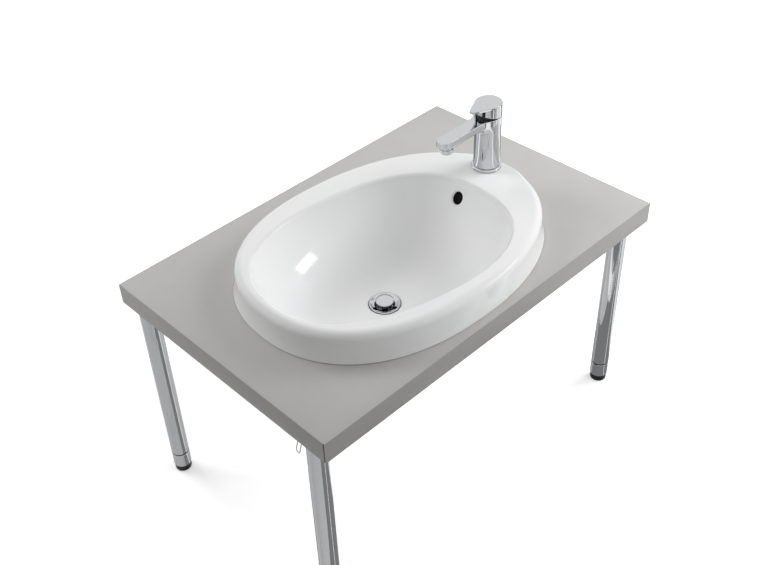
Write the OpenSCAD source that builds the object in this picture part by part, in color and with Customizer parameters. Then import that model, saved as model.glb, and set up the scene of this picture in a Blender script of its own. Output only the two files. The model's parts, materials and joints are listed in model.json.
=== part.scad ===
// Countertop washbasin in a worktop on four levelling legs, with a single-lever mixer tap and a push waste.
// Millimetres. X runs along the worktop, the user stands on the -Y side, Z = 0 is the floor.

/* [Worktop] */
// Length of the worktop
board_l = 800; // [780:1:900]
// Depth of the worktop
board_d = 523; // [515:1:640]
// Thickness of the worktop
board_t = 40; // [30:1:45]
// Height of the worktop's top face above the floor
board_top = 453; // [440:1:900]
// Thickness of the edge bands
band_t = 1.2; // [0.6:0.1:3]

/* [Basin rim] */
// Height of the rim above the worktop
rim_h = 56; // [50:1:64]
// Half length of the basin's outline
outline_a = 285.8; // [275:0.1:292]
// Half width of the basin's outline
outline_b = 209; // [200:0.1:214]
// Squareness of the outline, 2 is an ellipse
outline_n = 2.23; // [2:0.01:2.6]
// How far the outline narrows towards the tap end
outline_egg = -0.06; // [-0.1:0.01:0.1]
// Turn of the outline on the worktop
outline_turn = -2.75; // [-5:0.05:5]
// Centre of the outline along the worktop
outline_x = -24.2; // [-30:0.1:10]
// Centre of the outline across the worktop
outline_y = -31.4; // [-33:0.1:10]
// Outward spread of the wall from the rim to the worktop
wall_spread = 6; // [0:0.5:8]
// Radius of the rolled outer edge of the rim
rim_r = 14; // [8:0.5:18]
// Radius of that edge at the tap ledge
ledge_r = 5; // [3:0.5:14]
// Height of the bead of sealant under the basin
bead_h = 1; // [0.5:0.1:2]

/* [Bowl] */
// Half length of the bowl's opening
bowl_a = 227.6; // [210:0.1:232]
// Half width of the bowl's opening
bowl_b = 163.7; // [150:0.1:168]
// Squareness of the opening
bowl_n = 2.4; // [2:0.01:2.8]
// How far the opening widens towards the tap end
bowl_egg = 0.04; // [-0.1:0.01:0.1]
// Turn of the opening on the worktop
bowl_turn = -8.4; // [-10:0.1:0]
// Centre of the opening along the worktop
bowl_x = -61.2; // [-64:0.1:-56]
// Centre of the opening across the worktop
bowl_y = -41.6; // [-44:0.1:-38]
// Depth of the bowl below the rim
bowl_d = 133; // [120:1:140]
// Radius of the bowl's upper edge
lip_r = 7; // [4:0.5:8]
// Thickness of the ceramic
glaze_t = 11; // [9:0.5:12]
// Bearing of the overflow hole round the bowl
overflow_at = 14; // [0:0.5:40]
// Depth of the overflow hole below the rim
overflow_d = 29; // [26:0.5:34]
// Diameter of the overflow hole
overflow_dia = 13; // [10:0.5:16]

/* [Waste] */
// Outer diameter of the waste's thread
waste_thread = 41.9; // [38:0.1:42]
// Diameter of the waste's flange
flange_dia = 63; // [60:0.5:64]
// Diameter of the plug's cap
plug_dia = 35; // [33:0.1:35.2]
// Travel of the plug
plug_travel = 8; // [4:0.5:8]

/* [Tap] */
// Place of the tap along the worktop
tap_x = 232; // [226:0.5:233]
// Place of the tap across the worktop
tap_y = -16.5; // [-22:0.5:-14]
// Diameter of the tap's body
tap_dia = 48; // [47:0.5:50]
// Height of the spout's top face above the rim
spout_top = 107; // [104:0.5:110]
// Reach of the spout from the tap's axis
spout_reach = 128; // [110:1:140]
// Width of the spout
spout_w = 27.6; // [26:0.1:30]
// Thickness of the spout
spout_t = 18; // [16:0.5:20]
// Height of the lever's top face above the rim
lever_top = 132.5; // [131:0.5:136]
// Reach of the lever from the tap's axis
lever_reach = 46.5; // [42:0.5:60]

/* [Legs] */
// Diameter of the leg tubes
leg_dia = 34; // [32:0.5:40]
// Distance from a leg's axis to the worktop's end
leg_inset_x = 21; // [21:0.5:60]
// Distance from a leg's axis to the worktop's long edge
leg_inset_y = 44.4; // [40:0.1:60]
// Height of the black foot
foot_h = 15; // [10:0.5:20]
// Height of the chrome sleeve above it
sleeve_h = 31; // [25:0.5:40]
// Height of the black ring between sleeve and tube
ring_h = 3; // [2:0.5:4]

/* [Hidden] */
$fn = 72;
eps = 0.01;
// Radial clearance of turning and sliding fits
running = 0.06;
// Clearance between pieces that move past each other
clear = 0.4;

// Heights on the basin
rim_z = board_top + rim_h;
basin_z = board_top + bead_h;
board_bottom = board_top - board_t;
floor_z = rim_z - bowl_d;
deck_t = 13;
boss_t = 28;
boss_r = 44;
boss_z = floor_z - boss_t;
waste_hole_r = 23;
seat_r = 33;
seat_t = 3;
foot_w = 14;
cutout_off = 10;
ledge_at = 6;
overflow_dia_r = overflow_dia / 2;

// Points round each ring of the basin, and rings up the bowl
around = 64;
bowl_rings = 16;
bowl_p = 2.8;
bowl_q = 0.92;

// Overflow channel, measured outwards from the bowl's surface
duct_in = glaze_t - 2;
duct_out = glaze_t + 7;
duct_half = 8;
duct_wall = 6;

// Waste
throat_r = 17.8;
thread_r = waste_thread / 2;
waste_seat_z = floor_z - seat_t;
seal_t = 1.5;
flange_z = waste_seat_z + seal_t;
flange_t = 2.5;
waste_len = 85;
waste_end_z = floor_z - waste_len;
trap_thread = 35;
relief_h = 1.5;
relief_d = 1;
lower_seal_t = 8;
lower_seal_r = 32;
washer_t = 1.5;
washer_r = 31;
back_nut_t = 10;
back_nut_r = 30;
back_nut_rib = 2;
hub_z = floor_z - 24;
hub_h = 6;
hub_r = 6;
bar_t = 3;
slot_w = 10;
slot_low = 22;
spindle_r = 2.5;
guide_r = 5;
guide_h = 7;
guide_thread_r = 4;
cap_t = 3.5;
cap_z = floor_z + plug_travel - 3;
cap_skirt_r = 11;
cap_skirt_h = 3;
plug_seal_t = 2;
spring_low = hub_z + hub_h + guide_h;
spring_high = cap_z - cap_skirt_h;

// Tap, heights above the rim
gasket_t = 1;
base_h = 4.5;
body_z = gasket_t + base_h;
body_r = tap_dia / 2;
base_r = 27;
tap_hole_r = 16.5;
spout_z = spout_top - spout_t;
spout_joint_s = body_r + 2;
tip_r = spout_w / 2;
tip_s = spout_reach - tip_r;
arch_r = 16;
blend_r = 12;
aerator_s = tip_s - 6;
aerator_r = 12;
insert_r = aerator_r - 3.5;
mouth_r = aerator_r - 2;
mouth_deep = 11;
cavity_z = spout_top - 42;
cartridge_r = 17.5;
cartridge_h = 32;
neck_r = 9;
nut_r = 19;
shoulder_z = cavity_z + cartridge_h;
neck_top = spout_top + 2.4;
stem_bore_z = cavity_z + 18;
channel_r = 4;
channel_z = spout_z + 6;
port_r = 3;
stud_s = 9;
stud_r = 4;
stud_len = 82;
inlet_s = -4;
inlet_w = 8.5;
inlet_r = 5;
inlet_deep = 14;
block_r = 18;
rubber_t = 3;
steel_t = 2.5;

// Lever, which lifts about a pin behind the tap's axis
lever_r = body_r + 0.3;
skirt_in = lever_r - 3;
plate_t = 5;
plate_z = lever_top - plate_t;
lever_tip_r = 7.5;
lever_tip_s = lever_reach - lever_tip_r;
skirt_gap = 1;
skirt_back = -17;
skirt_back_slope = 0.19;
skirt_front = 2;
skirt_front_slope = 0.3;
collar_r = skirt_in - 1;
collar_z = spout_top + clear;
collar_top = spout_top + 12;
pin_s = -18;
pin_z = spout_top + 3.4;
pin_r = 1.5;
pin_len = 21.8;
ball_r = 4;
ball_z = spout_top + 9;
stem_r = 4;
stem_neck_r = 2.8;
stem_shoulder_z = neck_top - 2.5;
hub_half = 7.5;
hub_back = -6;
hub_len = 15;
pocket_back = -4.8;
ear_in = 8.4;
ear_t = 4;
ear_w = 5.4;
button_r = 1.6;
button_at = 52;
button_deep = 1;
button_drop = 6.8;

// Legs
leg_r = leg_dia / 2;
leg_wall = 1.5;
leg_in = leg_r - leg_wall;
leg_x = board_l / 2 - leg_inset_x;
leg_y = board_d / 2 - leg_inset_y;
plate_th = 4;
plate_len = 50;
plate_half = 14;
plate_spigot_h = 20;
tube_top = board_bottom - plate_th;
tube_end = foot_h + sleeve_h + ring_h;
stud_thread_r = 6;
stud_thread_len = 60;
bush_h = 34;
foot_spigot_r = 8;
foot_spigot_h = 12;
screw_r = 2;
screw_len = 20;
pilot_deep = 18;
screw_spots = [[28, 7], [28, -7], [52, 0]];
legs = [1:4];

// The basin's shape: ovals given by a bearing t, with a squareness n and a taper egg
function signed_pow(v, e) = sign(v) * pow(abs(v), e);
function oval(t, a, b, n, egg) =
    [a * signed_pow(cos(t), 2 / n), b * signed_pow(sin(t), 2 / n) * (1 + egg * cos(t))];
function turned(p, at) = [p.x * cos(at) - p.y * sin(at), p.x * sin(at) + p.y * cos(at)];
function smooth(v) = let(c = min(1, max(0, v))) c * c * (3 - 2 * c);
function unit(v) = v / norm(v);
function bearing(j) = j * 360 / around - 180;

// The outline of the rim, drawn in by off, and the bowl's opening
function outline(t, off) =
    [outline_x, outline_y]
    + turned(oval(t, outline_a - off, outline_b - off, outline_n, outline_egg), outline_turn);
function opening(t) = turned(oval(t, bowl_a, bowl_b, bowl_n, bowl_egg), bowl_turn);
function edge_r(t) = ledge_r + (rim_r - ledge_r) * smooth((abs(t - ledge_at) - 8) / 14);

// A point of the bowl's surface: k is 0 at the waste and 1 at the opening
function bowl_depth(k) = lip_r + (bowl_d - lip_r) * pow(1 - pow(max(k, 0), bowl_p), bowl_q);
function bowl_point(k, t) =
    let(p = (1 - k) * seat_r * [cos(t + bowl_turn), sin(t + bowl_turn)] + k * opening(t))
    [bowl_x + p.x, bowl_y + p.y, rim_z - bowl_depth(k)];
function bowl_normal(k, t) =
    unit(cross(
        bowl_point(k, t) - bowl_point(k - 0.002, t),
        bowl_point(k, t + 0.5) - bowl_point(k, t - 0.5)));
function bowl_back(k, t, depth) = bowl_point(k, t) - depth * bowl_normal(k, t);
function bowl_k(i) = 1 - pow(1 - i / bowl_rings, 1.8);
overflow_k =
    pow(1 - pow((overflow_d - lip_r) / (bowl_d - lip_r), 1 / bowl_q), 1 / bowl_p);

// Points between the opening and the outline, from 0 to 1, and the hollow under the rim
function lip_point(t) = let(p = bowl_point(1, t)) [p.x, p.y];
function across_rim(t, f) = lip_point(t) + f * (outline(t, 0) - lip_point(t));
function rim_w(t) = norm(outline(t, 0) - lip_point(t));
function hollow(t) = max(0.14, 1 - (2 * glaze_t - 1) / rim_w(t));
function at_height(p, z) = [p.x, p.y, z];

function basin_ring(kind, v) =
    [
        for (j = [0:around - 1])
            let(t = bearing(j), r = edge_r(t))
            kind == "bowl" ? bowl_point(v, t)
            : kind == "lip" ? at_height(
                across_rim(t, lip_r * (1 - cos(v)) / rim_w(t)), rim_z - lip_r * (1 - sin(v)))
            : kind == "deck" ? at_height(
                (1 - v) * across_rim(t, lip_r / rim_w(t)) + v * outline(t, r), rim_z)
            : kind == "edge" ? at_height(outline(t, r * (1 - cos(v))), rim_z - r * (1 - sin(v)))
            : kind == "wall" ? at_height(
                outline(t, -wall_spread * v * v), rim_z - r - (rim_h - bead_h - r) * v)
            : kind == "foot" ? at_height(outline(t, foot_w - wall_spread), basin_z)
            : kind == "under" ? at_height(across_rim(t, (1 + v * hollow(t)) / 2), rim_z - deck_t)
            : bowl_back(v, t, glaze_t)
    ];
basin_rings = concat(
    [for (i = [0:bowl_rings]) basin_ring("bowl", bowl_k(i))],
    [for (a = [30, 60, 90]) basin_ring("lip", a)],
    [for (f = [0.33, 0.67]) basin_ring("deck", f)],
    [for (a = [90:-18:0]) basin_ring("edge", a)],
    [for (f = [0.33, 0.67, 1]) basin_ring("wall", f)],
    [basin_ring("foot", 0)],
    [basin_ring("under", 1)],
    [basin_ring("under", -1)],
    [for (i = [bowl_rings - 2:-1:0]) basin_ring("back", bowl_k(i))]
);

module ring_solid(rings, first, last)
{
    n = len(rings[0]);
    m = len(rings);
    points = concat([for (r = rings) each r], [first, last]);
    faces = concat(
        [for (j = [0:n - 1]) [n * m, (j + 1) % n, j]],
        [for (i = [0:m - 2], j = [0:n - 1]) [i * n + j, i * n + (j + 1) % n, (i + 1) * n + (j + 1) % n]],
        [for (i = [0:m - 2], j = [0:n - 1]) [i * n + j, (i + 1) * n + (j + 1) % n, (i + 1) * n + j]],
        [for (j = [0:n - 1]) [n * m + 1, (m - 1) * n + j, (m - 1) * n + (j + 1) % n]]);
    polyhedron(points, faces, convexity = 8);
}

// A channel behind the bowl's wall, at the bearing of the overflow
module channel(inner, outer, half, k_low, k_high)
{
    t = overflow_at;
    side = half * unit(cross([0, 0, 1], concat(opening(t), [0])));
    steps = 10;
    rings = [
        for (i = [0:steps])
            let(k = k_low + (k_high - k_low) * i / steps)
            let(a = bowl_back(k, t, inner), b = bowl_back(k, t, outer))
            [a - side, a + side, b + side, b - side]
    ];
    centre = function(r) (r[0] + r[1] + r[2] + r[3]) / 4;
    ring_solid(rings, centre(rings[0]), centre(rings[steps]));
}

module overflow_hole()
{
    p = bowl_point(overflow_k, overflow_at);
    n = bowl_normal(overflow_k, overflow_at);
    translate(p)
        rotate([0, acos(n.z), atan2(n.y, n.x)])
        translate([0, 0, -duct_in - 4])
        cylinder(r = overflow_dia_r, h = duct_in + 12);
}

module basin()
{
    color("white")
    difference() {
        union() {
            ring_solid(
                basin_rings,
                [bowl_x, bowl_y, floor_z],
                [bowl_x, bowl_y, floor_z - glaze_t]);
            channel(duct_in - 1, duct_out + duct_wall, duct_half + duct_wall, -0.02, 0.975);
            translate([bowl_x, bowl_y, boss_z]) cylinder(r = boss_r, h = boss_t - glaze_t + 3);
        }
        translate([bowl_x, bowl_y, boss_z - 1]) cylinder(r = waste_hole_r, h = boss_t + 2);
        translate([bowl_x, bowl_y, waste_seat_z]) cylinder(r = seat_r - 0.5, h = seat_t + 5);
        translate([tap_x, tap_y, rim_z - deck_t - 5]) cylinder(r = tap_hole_r, h = deck_t + 10);
        channel(duct_in, duct_out, duct_half, -0.09, 0.955);
        overflow_hole();
    }
}

// Worktop
module outline_plate(off, h)
{
    linear_extrude(h) polygon([for (j = [0:around - 1]) outline(bearing(j), off)]);
}

module each_leg()
{
    for (i = legs) at_leg(i) children();
}

// Leg 1 stands at the front left, then anticlockwise; local +X points to the worktop's middle
module at_leg(i)
{
    side = (i == 1 || i == 4) ? 1 : -1;
    front = i < 3 ? -1 : 1;
    translate([-side * leg_x, front * leg_y, 0]) rotate([0, 0, side > 0 ? 0 : 180]) children();
}

module worktop_board()
{
    core_l = board_l - 2 * band_t;
    core_d = board_d - 2 * band_t;
    color("lightgray")
    difference() {
        translate([-core_l / 2, -core_d / 2, board_bottom]) cube([core_l, core_d, board_t]);
        translate([0, 0, board_bottom - 1]) outline_plate(cutout_off, board_t + 2);
        each_leg()
            for (p = screw_spots)
                translate([p.x, p.y, board_bottom - 1]) cylinder(r = screw_r, h = pilot_deep + 1, $fn = 24);
    }
}

module long_band(front)
{
    color("gainsboro")
    translate([-board_l / 2, front > 0 ? -board_d / 2 : board_d / 2 - band_t, board_bottom])
        cube([board_l, band_t, board_t]);
}

module short_band(left)
{
    color("gainsboro")
    translate([
        left > 0 ? -board_l / 2 : board_l / 2 - band_t, -board_d / 2 + band_t, board_bottom
    ])
        cube([band_t, board_d - 2 * band_t, board_t]);
}

module sealant_bead()
{
    color("whitesmoke")
    translate([0, 0, board_top])
        difference() {
            outline_plate(3 - wall_spread, bead_h);
            translate([0, 0, -1]) outline_plate(foot_w - wall_spread - 1, bead_h + 2);
        }
}

module wire_hook()
{
    wire_r = 1;
    bend_r = 4;
    drop = 38;
    lean = 15;
    hook_x = -board_l / 2 + 8;
    hook_y = -board_d / 2 + 65;
    color("silver")
    translate([hook_x, hook_y, board_bottom])
        difference() {
            rotate([lean, 0, 0]) {
                for (s = [-1, 1])
                    translate([0, s * bend_r, -drop]) cylinder(r = wire_r, h = drop + 3, $fn = 24);
                translate([0, 0, -drop])
                    rotate([0, 90, 0])
                    rotate([0, 0, -90])
                    rotate_extrude(angle = 180, $fn = 48)
                    translate([bend_r, 0])
                    circle(r = wire_r, $fn = 24);
            }
            translate([-10, -20, 0]) cube([20, 40, 20]);
        }
}

// Tap. Local +X runs along the spout, +Y towards the user, Z = 0 is the rim
module at_tap()
{
    translate([tap_x, tap_y, rim_z]) rotate([0, 0, 180]) children();
}

module tube(r_out, r_in, h)
{
    rotate_extrude() translate([r_in, 0]) square([r_out - r_in, h]);
}

module tap_gasket()
{
    color("dimgray") at_tap() tube(base_r - 2.5, tap_hole_r - 0.5, gasket_t);
}

module tap_base_ring()
{
    edge = 2;
    bore = tap_hole_r - 1.5;
    color("silver")
    at_tap()
        translate([0, 0, gasket_t])
        rotate_extrude()
        union() {
            translate([bore, 0]) square([base_r - edge - bore, base_h]);
            translate([bore, 0]) square([base_r - bore, base_h - edge]);
            translate([base_r - edge, base_h - edge]) circle(r = edge);
        }
}

// Side view of the spout, with the arch that carries it on the body
module spout_side()
{
    translate([0, spout_z]) square([spout_reach, spout_t]);
    difference() {
        translate([0, spout_z - arch_r]) square([body_r + arch_r, arch_r + eps]);
        translate([body_r + arch_r, spout_z - arch_r]) circle(r = arch_r);
    }
}

// Plan of the spout, and of the blends between its sides and the body
module spout_plan()
{
    translate([0, -tip_r]) square([tip_s, spout_w]);
    translate([tip_s, 0]) circle(r = tip_r);
}

module blend_plan()
{
    centre_y = tip_r + blend_r;
    centre_x = sqrt(pow(body_r + blend_r, 2) - centre_y * centre_y);
    for (s = [-1, 1])
        difference() {
            polygon([
                [0, 0], [centre_x, 0], [centre_x, s * tip_r], [centre_x, s * centre_y]
            ]);
            translate([centre_x, s * centre_y]) circle(r = blend_r);
        }
}

// Cross-section of the spout, its lower edges rounded
module spout_section()
{
    lower_r = 6;
    translate([-tip_r, spout_z + lower_r]) square([spout_w, spout_t - lower_r]);
    translate([-tip_r + lower_r, spout_z]) square([spout_w - 2 * lower_r, spout_t]);
    for (s = [-1, 1])
        translate([s * (tip_r - lower_r), spout_z + lower_r]) circle(r = lower_r);
}

module side_extrude(half)
{
    translate([0, half, 0]) rotate([90, 0, 0]) linear_extrude(2 * half) children();
}

module spout()
{
    intersection() {
        linear_extrude(spout_top + 5) spout_plan();
        side_extrude(body_r) translate([0, spout_z]) square([spout_reach, spout_t]);
        rotate([90, 0, 90]) linear_extrude(spout_reach + 1) spout_section();
    }
    intersection() {
        linear_extrude(spout_top + 5)
            union() {
                translate([0, -tip_r]) square([body_r + arch_r, spout_w]);
                blend_plan();
            }
        side_extrude(body_r + 4)
            intersection() {
                spout_side();
                square([body_r + arch_r, spout_top]);
            }
    }
}

// The root of the spout is part of the body, and the spout is brazed to it
module spout_part(from, to)
{
    intersection() {
        spout();
        translate([from, -2 * body_r, 0]) cube([to - from, 4 * body_r, 2 * spout_top]);
    }
}

// Passage from the cartridge through the spout to the aerator
module spout_channel()
{
    translate([cartridge_r - 3, 0, channel_z])
        rotate([0, 90, 0])
        cylinder(r = channel_r, h = aerator_s - cartridge_r + 3);
}

module tap_body()
{
    groove = 1;
    color("silver")
    at_tap()
        difference() {
            union() {
                translate([0, 0, body_z + groove]) cylinder(r = body_r, h = spout_top - body_z - groove);
                translate([0, 0, body_z]) cylinder(r = body_r - 1, h = groove + eps);
                spout_part(0, spout_joint_s);
            }
            translate([0, 0, cavity_z]) cylinder(r = cartridge_r + running, h = spout_top);
            translate([0, 0, shoulder_z]) cylinder(r = nut_r, h = spout_top);
            translate([0, 0, body_z - 1]) cylinder(r = block_r, h = inlet_deep + 1);
            for (s = [-1, 1])
                translate([inlet_s, s * inlet_w, body_z]) cylinder(r = port_r, h = cavity_z);
            spout_channel();
        }
}

// Block in the foot of the body, which takes the supply hoses and the stud
module tap_inlet_block()
{
    color("goldenrod")
    at_tap()
        translate([0, 0, body_z])
        difference() {
            cylinder(r = block_r, h = inlet_deep);
            translate([stud_s, 0, -1]) cylinder(r = stud_r, h = inlet_deep + 2);
            for (s = [-1, 1])
                translate([inlet_s, s * inlet_w, -1]) cylinder(r = inlet_r, h = inlet_deep + 2);
        }
}

module tap_spout()
{
    color("silver")
    at_tap()
        difference() {
            spout_part(spout_joint_s, spout_reach + 1);
            spout_channel();
            translate([aerator_s, 0, spout_z - 1]) cylinder(r = mouth_r, h = mouth_deep + 1);
        }
}

module aerator_housing()
{
    step = 5;
    lip_h = 4;
    screwed_h = 5;
    thread_t = mouth_r - insert_r;
    lip_t = thread_t + 1;
    color("silver")
    at_tap()
        translate([aerator_s, 0, spout_z])
        rotate_extrude()
        union() {
            translate([insert_r, -step - lip_h]) square([thread_t, step + lip_h + screwed_h]);
            translate([insert_r, -step]) square([aerator_r - insert_r, step]);
            translate([insert_r, -step - lip_h]) square([lip_t, lip_h + eps]);
        }
}

module aerator_insert()
{
    insert_h = 10;
    below = 8;
    holes = 12;
    hole_r = 0.8;
    hole_step = 3.2;
    color("dimgray")
    at_tap()
        translate([aerator_s, 0, spout_z - below])
        difference() {
            cylinder(r = insert_r, h = insert_h);
            for (ring = [1, 2], i = [0:holes * ring / 2 - 1])
                rotate([0, 0, 720 / (holes * ring) * i])
                    translate([hole_step * ring - hole_r, 0, -1])
                    cylinder(r = hole_r, h = insert_h + 2, $fn = 16);
        }
}

module cartridge_body()
{
    port_deep = 13;
    color("dimgray")
    at_tap()
        difference() {
            union() {
                translate([0, 0, cavity_z]) cylinder(r = cartridge_r, h = cartridge_h);
                translate([0, 0, cavity_z]) cylinder(r = neck_r, h = neck_top - cavity_z);
            }
            translate([0, 0, stem_bore_z]) cylinder(r = stem_r + running, h = cartridge_h);
            for (s = [-1, 1])
                translate([inlet_s, s * inlet_w, cavity_z - 1]) cylinder(r = port_r, h = port_deep + 1);
            translate([port_r, 0, channel_z - port_r])
                rotate([0, 90, 0])
                cylinder(r = port_r, h = cartridge_r);
        }
}

module cartridge_nut()
{
    nut_h = 8;
    bore_r = neck_r + 3.5;
    notch_w = 3;
    notch_l = 3.5;
    color("goldenrod")
    at_tap()
        translate([0, 0, shoulder_z])
        difference() {
            tube(nut_r, bore_r, nut_h);
            for (a = [0:90:270])
                rotate([0, 0, a])
                    translate([bore_r - 1.5, -notch_w / 2, nut_h - notch_w])
                    cube([notch_l + 1.5, notch_w, notch_w + 1]);
        }
}

// The stem lifts with the lever, whose pocket holds its ball
module cartridge_stem()
{
    stem_z = stem_bore_z + 8;
    color("silver")
    at_tap() {
        translate([0, 0, stem_z]) cylinder(r = stem_r, h = stem_shoulder_z - stem_z);
        translate([0, 0, stem_shoulder_z - eps])
            cylinder(r = stem_neck_r, h = ball_z - stem_shoulder_z);
        translate([0, 0, ball_z]) sphere(r = ball_r);
    }
}

// Black collar under the lever, which swivels on the cartridge's neck and carries the lever's pin
module lever_carrier()
{
    sleeve_r = neck_r + 3;
    floor_top = neck_top + 0.1;
    pocket_gap = 0.7;
    back = hub_back - 2.7;
    front = hub_back + hub_len + 1.8;
    ear_gap = 0.35;
    ear_front = pin_s + 4.6;
    beside = 20;
    color("black")
    at_tap()
        difference() {
            union() {
                translate([0, 0, collar_z]) cylinder(r = collar_r, h = collar_top - collar_z);
                translate([0, 0, shoulder_z + 1]) cylinder(r = sleeve_r, h = collar_z - shoulder_z);
            }
            translate([0, 0, shoulder_z - 1]) cylinder(r = neck_r + running, h = neck_top - shoulder_z + 1.1);
            translate([back, -hub_half - pocket_gap, floor_top])
                cube([front - back, 2 * (hub_half + pocket_gap), collar_top]);
            for (s = [-1, 1])
                translate([
                    -collar_r - 5, s > 0 ? ear_in - ear_gap : -ear_in - beside + ear_gap, collar_z - 1
                ])
                    cube([collar_r + 5 + ear_front, beside, collar_top]);
            translate([pin_s, 0, pin_z])
                rotate([90, 0, 0])
                cylinder(r = pin_r + running, h = 2 * beside, center = true, $fn = 48);
        }
}

// Tongue of the lever seen from above, its sides running just inside the tangents of both rounds
module lever_tongue()
{
    inside = 0.05;
    lean = acos((lever_r - lever_tip_r) / lever_tip_s);
    side = [cos(lean), sin(lean)];
    mirrored = [cos(lean), -sin(lean)];
    translate([lever_tip_s, 0]) circle(r = lever_tip_r);
    polygon([
        (lever_r - inside) * mirrored,
        [lever_tip_s, 0] + (lever_tip_r - inside) * mirrored,
        [lever_tip_s, 0] + (lever_tip_r - inside) * side,
        (lever_r - inside) * side
    ]);
}

// Round head, its lower edge cut away towards the spout, with a slot each side of the front web
module lever_head()
{
    slot_in = 5.6;
    slot_out = 11;
    low = spout_top + skirt_gap;
    far = lever_r + 5;
    below = 12;
    difference() {
        translate([0, 0, low - 2]) cylinder(r = lever_r, h = lever_top - low + 2);
        translate([0, 0, low - 3]) cylinder(r = skirt_in, h = plate_z - low + 3);
        side_extrude(far)
            polygon([
                [-far, low - below], [-far, low + skirt_back_slope * (far + skirt_back)],
                [skirt_back, low], [skirt_front, low],
                [far, low + skirt_front_slope * (far - skirt_front)], [far, low - below]
            ]);
        for (s = [-1, 1])
            translate([skirt_front, s > 0 ? slot_in : -slot_out, low - 1])
                cube([far, slot_out - slot_in, plate_z - low + 1]);
    }
}

module lever()
{
    ear_low = spout_top + 1.2;
    ball_gap = 0.4;
    pocket_h = 2 * (ball_r + ball_gap);
    pocket_z = ball_z - pocket_h / 2;
    hub_low = pocket_z - 1.6;
    pocket_l = 20;
    color("silver")
    at_tap()
        difference() {
            union() {
                translate([0, 0, plate_z]) linear_extrude(plate_t) lever_tongue();
                lever_head();
                translate([hub_back, -hub_half, hub_low])
                    cube([hub_len, 2 * hub_half, plate_z - hub_low + eps]);
                for (s = [-1, 1])
                    intersection() {
                        translate([pin_s - 2.8, s > 0 ? ear_in : -ear_in - ear_t, ear_low])
                            cube([ear_w, ear_t, plate_z - ear_low + eps]);
                        cylinder(r = lever_r - 1, h = lever_top);
                    }
            }
            translate([pocket_back, -ball_r - ball_gap, pocket_z])
                cube([pocket_l, 2 * (ball_r + ball_gap), pocket_h]);
            translate([pocket_back, -stem_neck_r - ball_gap, hub_low - 1])
                cube([pocket_l, 2 * (stem_neck_r + ball_gap), pocket_h]);
            translate([pin_s, 0, pin_z])
                rotate([90, 0, 0])
                cylinder(r = pin_r, h = pin_len + 0.2, center = true, $fn = 48);
            button_place() cylinder(r = button_r, h = button_deep + 3, $fn = 32);
        }
}

module lever_pin()
{
    color("silver")
    at_tap()
        translate([pin_s, 0, pin_z])
        rotate([90, 0, 0])
        cylinder(r = pin_r, h = pin_len, center = true, $fn = 48);
}

// Place of the button on the skirt, local Z pointing outwards
module button_place()
{
    rotate([0, 0, button_at]) translate([lever_r - button_deep, 0, lever_top - button_drop])
        rotate([0, 90, 0])
        children();
}

module lever_button()
{
    color("gray") at_tap() button_place() cylinder(r = button_r, h = button_deep + 0.2, $fn = 32);
}

module tap_stud()
{
    top = body_z + inlet_deep - 1;
    color("goldenrod")
    at_tap() translate([stud_s, 0, top - stud_len]) cylinder(r = stud_r, h = stud_len);
}

module horseshoe(z, h)
{
    r = 22;
    flat = -17;
    slot_half = inlet_w + inlet_r + 1.5;
    translate([0, 0, z])
        difference() {
            intersection() {
                cylinder(r = r, h = h);
                translate([flat, -r, -1]) cube([2 * r, 2 * r, h + 2]);
            }
            translate([flat - 1, -slot_half, -1]) cube([inlet_s + inlet_r + 1 - flat, 2 * slot_half, h + 2]);
            translate([stud_s, 0, -1]) cylinder(r = stud_r, h = h + 2);
        }
}

module rubber_horseshoe()
{
    color("black") at_tap() horseshoe(-deck_t - rubber_t, rubber_t);
}

module metal_horseshoe()
{
    color("silver") at_tap() horseshoe(-deck_t - rubber_t - steel_t, steel_t);
}

module stud_nut()
{
    nut_h = 6.5;
    corner_r = 7.5;
    color("goldenrod")
    at_tap()
        translate([stud_s, 0, -deck_t - rubber_t - steel_t - nut_h])
        difference() {
            cylinder(r = corner_r, h = nut_h, $fn = 6);
            translate([0, 0, -1]) cylinder(r = stud_r, h = nut_h + 2);
        }
}

// Waste
module at_waste(z)
{
    translate([bowl_x, bowl_y, z]) children();
}

module waste_body()
{
    flange_r = flange_dia / 2;
    length = flange_z - waste_end_z;
    slots_z = waste_len - slot_low;
    dip_w = 2.6;
    dip_d = 1.8;
    dip_rim = 4;
    color("silver")
    at_waste(waste_end_z)
        difference() {
            union() {
                rotate_extrude()
                    difference() {
                        union() {
                            translate([throat_r, 0]) square([thread_r - throat_r, length]);
                            translate([throat_r, length]) square([flange_r - throat_r, flange_t]);
                        }
                        // The flange dips towards the throat
                        polygon([
                            [throat_r - 1, length + flange_t + 1],
                            [throat_r - 1, length + flange_t - dip_d],
                            [throat_r + dip_w, length + flange_t - dip_d],
                            [flange_r - dip_rim, length + flange_t + eps],
                            [flange_r - dip_rim, length + flange_t + 1]
                        ]);
                        // Relief between the trap's thread and the back nut's
                        translate([thread_r - relief_d, trap_thread])
                            square([relief_d + 1, relief_h]);
                    }
                translate([0, 0, hub_z - waste_end_z]) {
                    cylinder(r = hub_r, h = hub_h);
                    for (a = [30, 150, 270])
                        rotate([0, 0, a]) translate([0, -bar_t / 2, 0]) cube([throat_r + 1, bar_t, hub_h]);
                }
            }
            translate([0, 0, hub_z - waste_end_z - 1]) cylinder(r = guide_thread_r, h = hub_h + 2);
            for (a = [0, 180])
                rotate([0, 0, a])
                    translate([throat_r - 2, -slot_w / 2, slots_z])
                    cube([8, slot_w, slot_w]);
        }
}

module waste_upper_seal()
{
    color("dimgray") at_waste(waste_seat_z) tube(flange_dia / 2 - 2, waste_hole_r + 0.5, seal_t);
}

module waste_lower_seal()
{
    color("dimgray") at_waste(boss_z - lower_seal_t) tube(lower_seal_r, thread_r, lower_seal_t);
}

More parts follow.
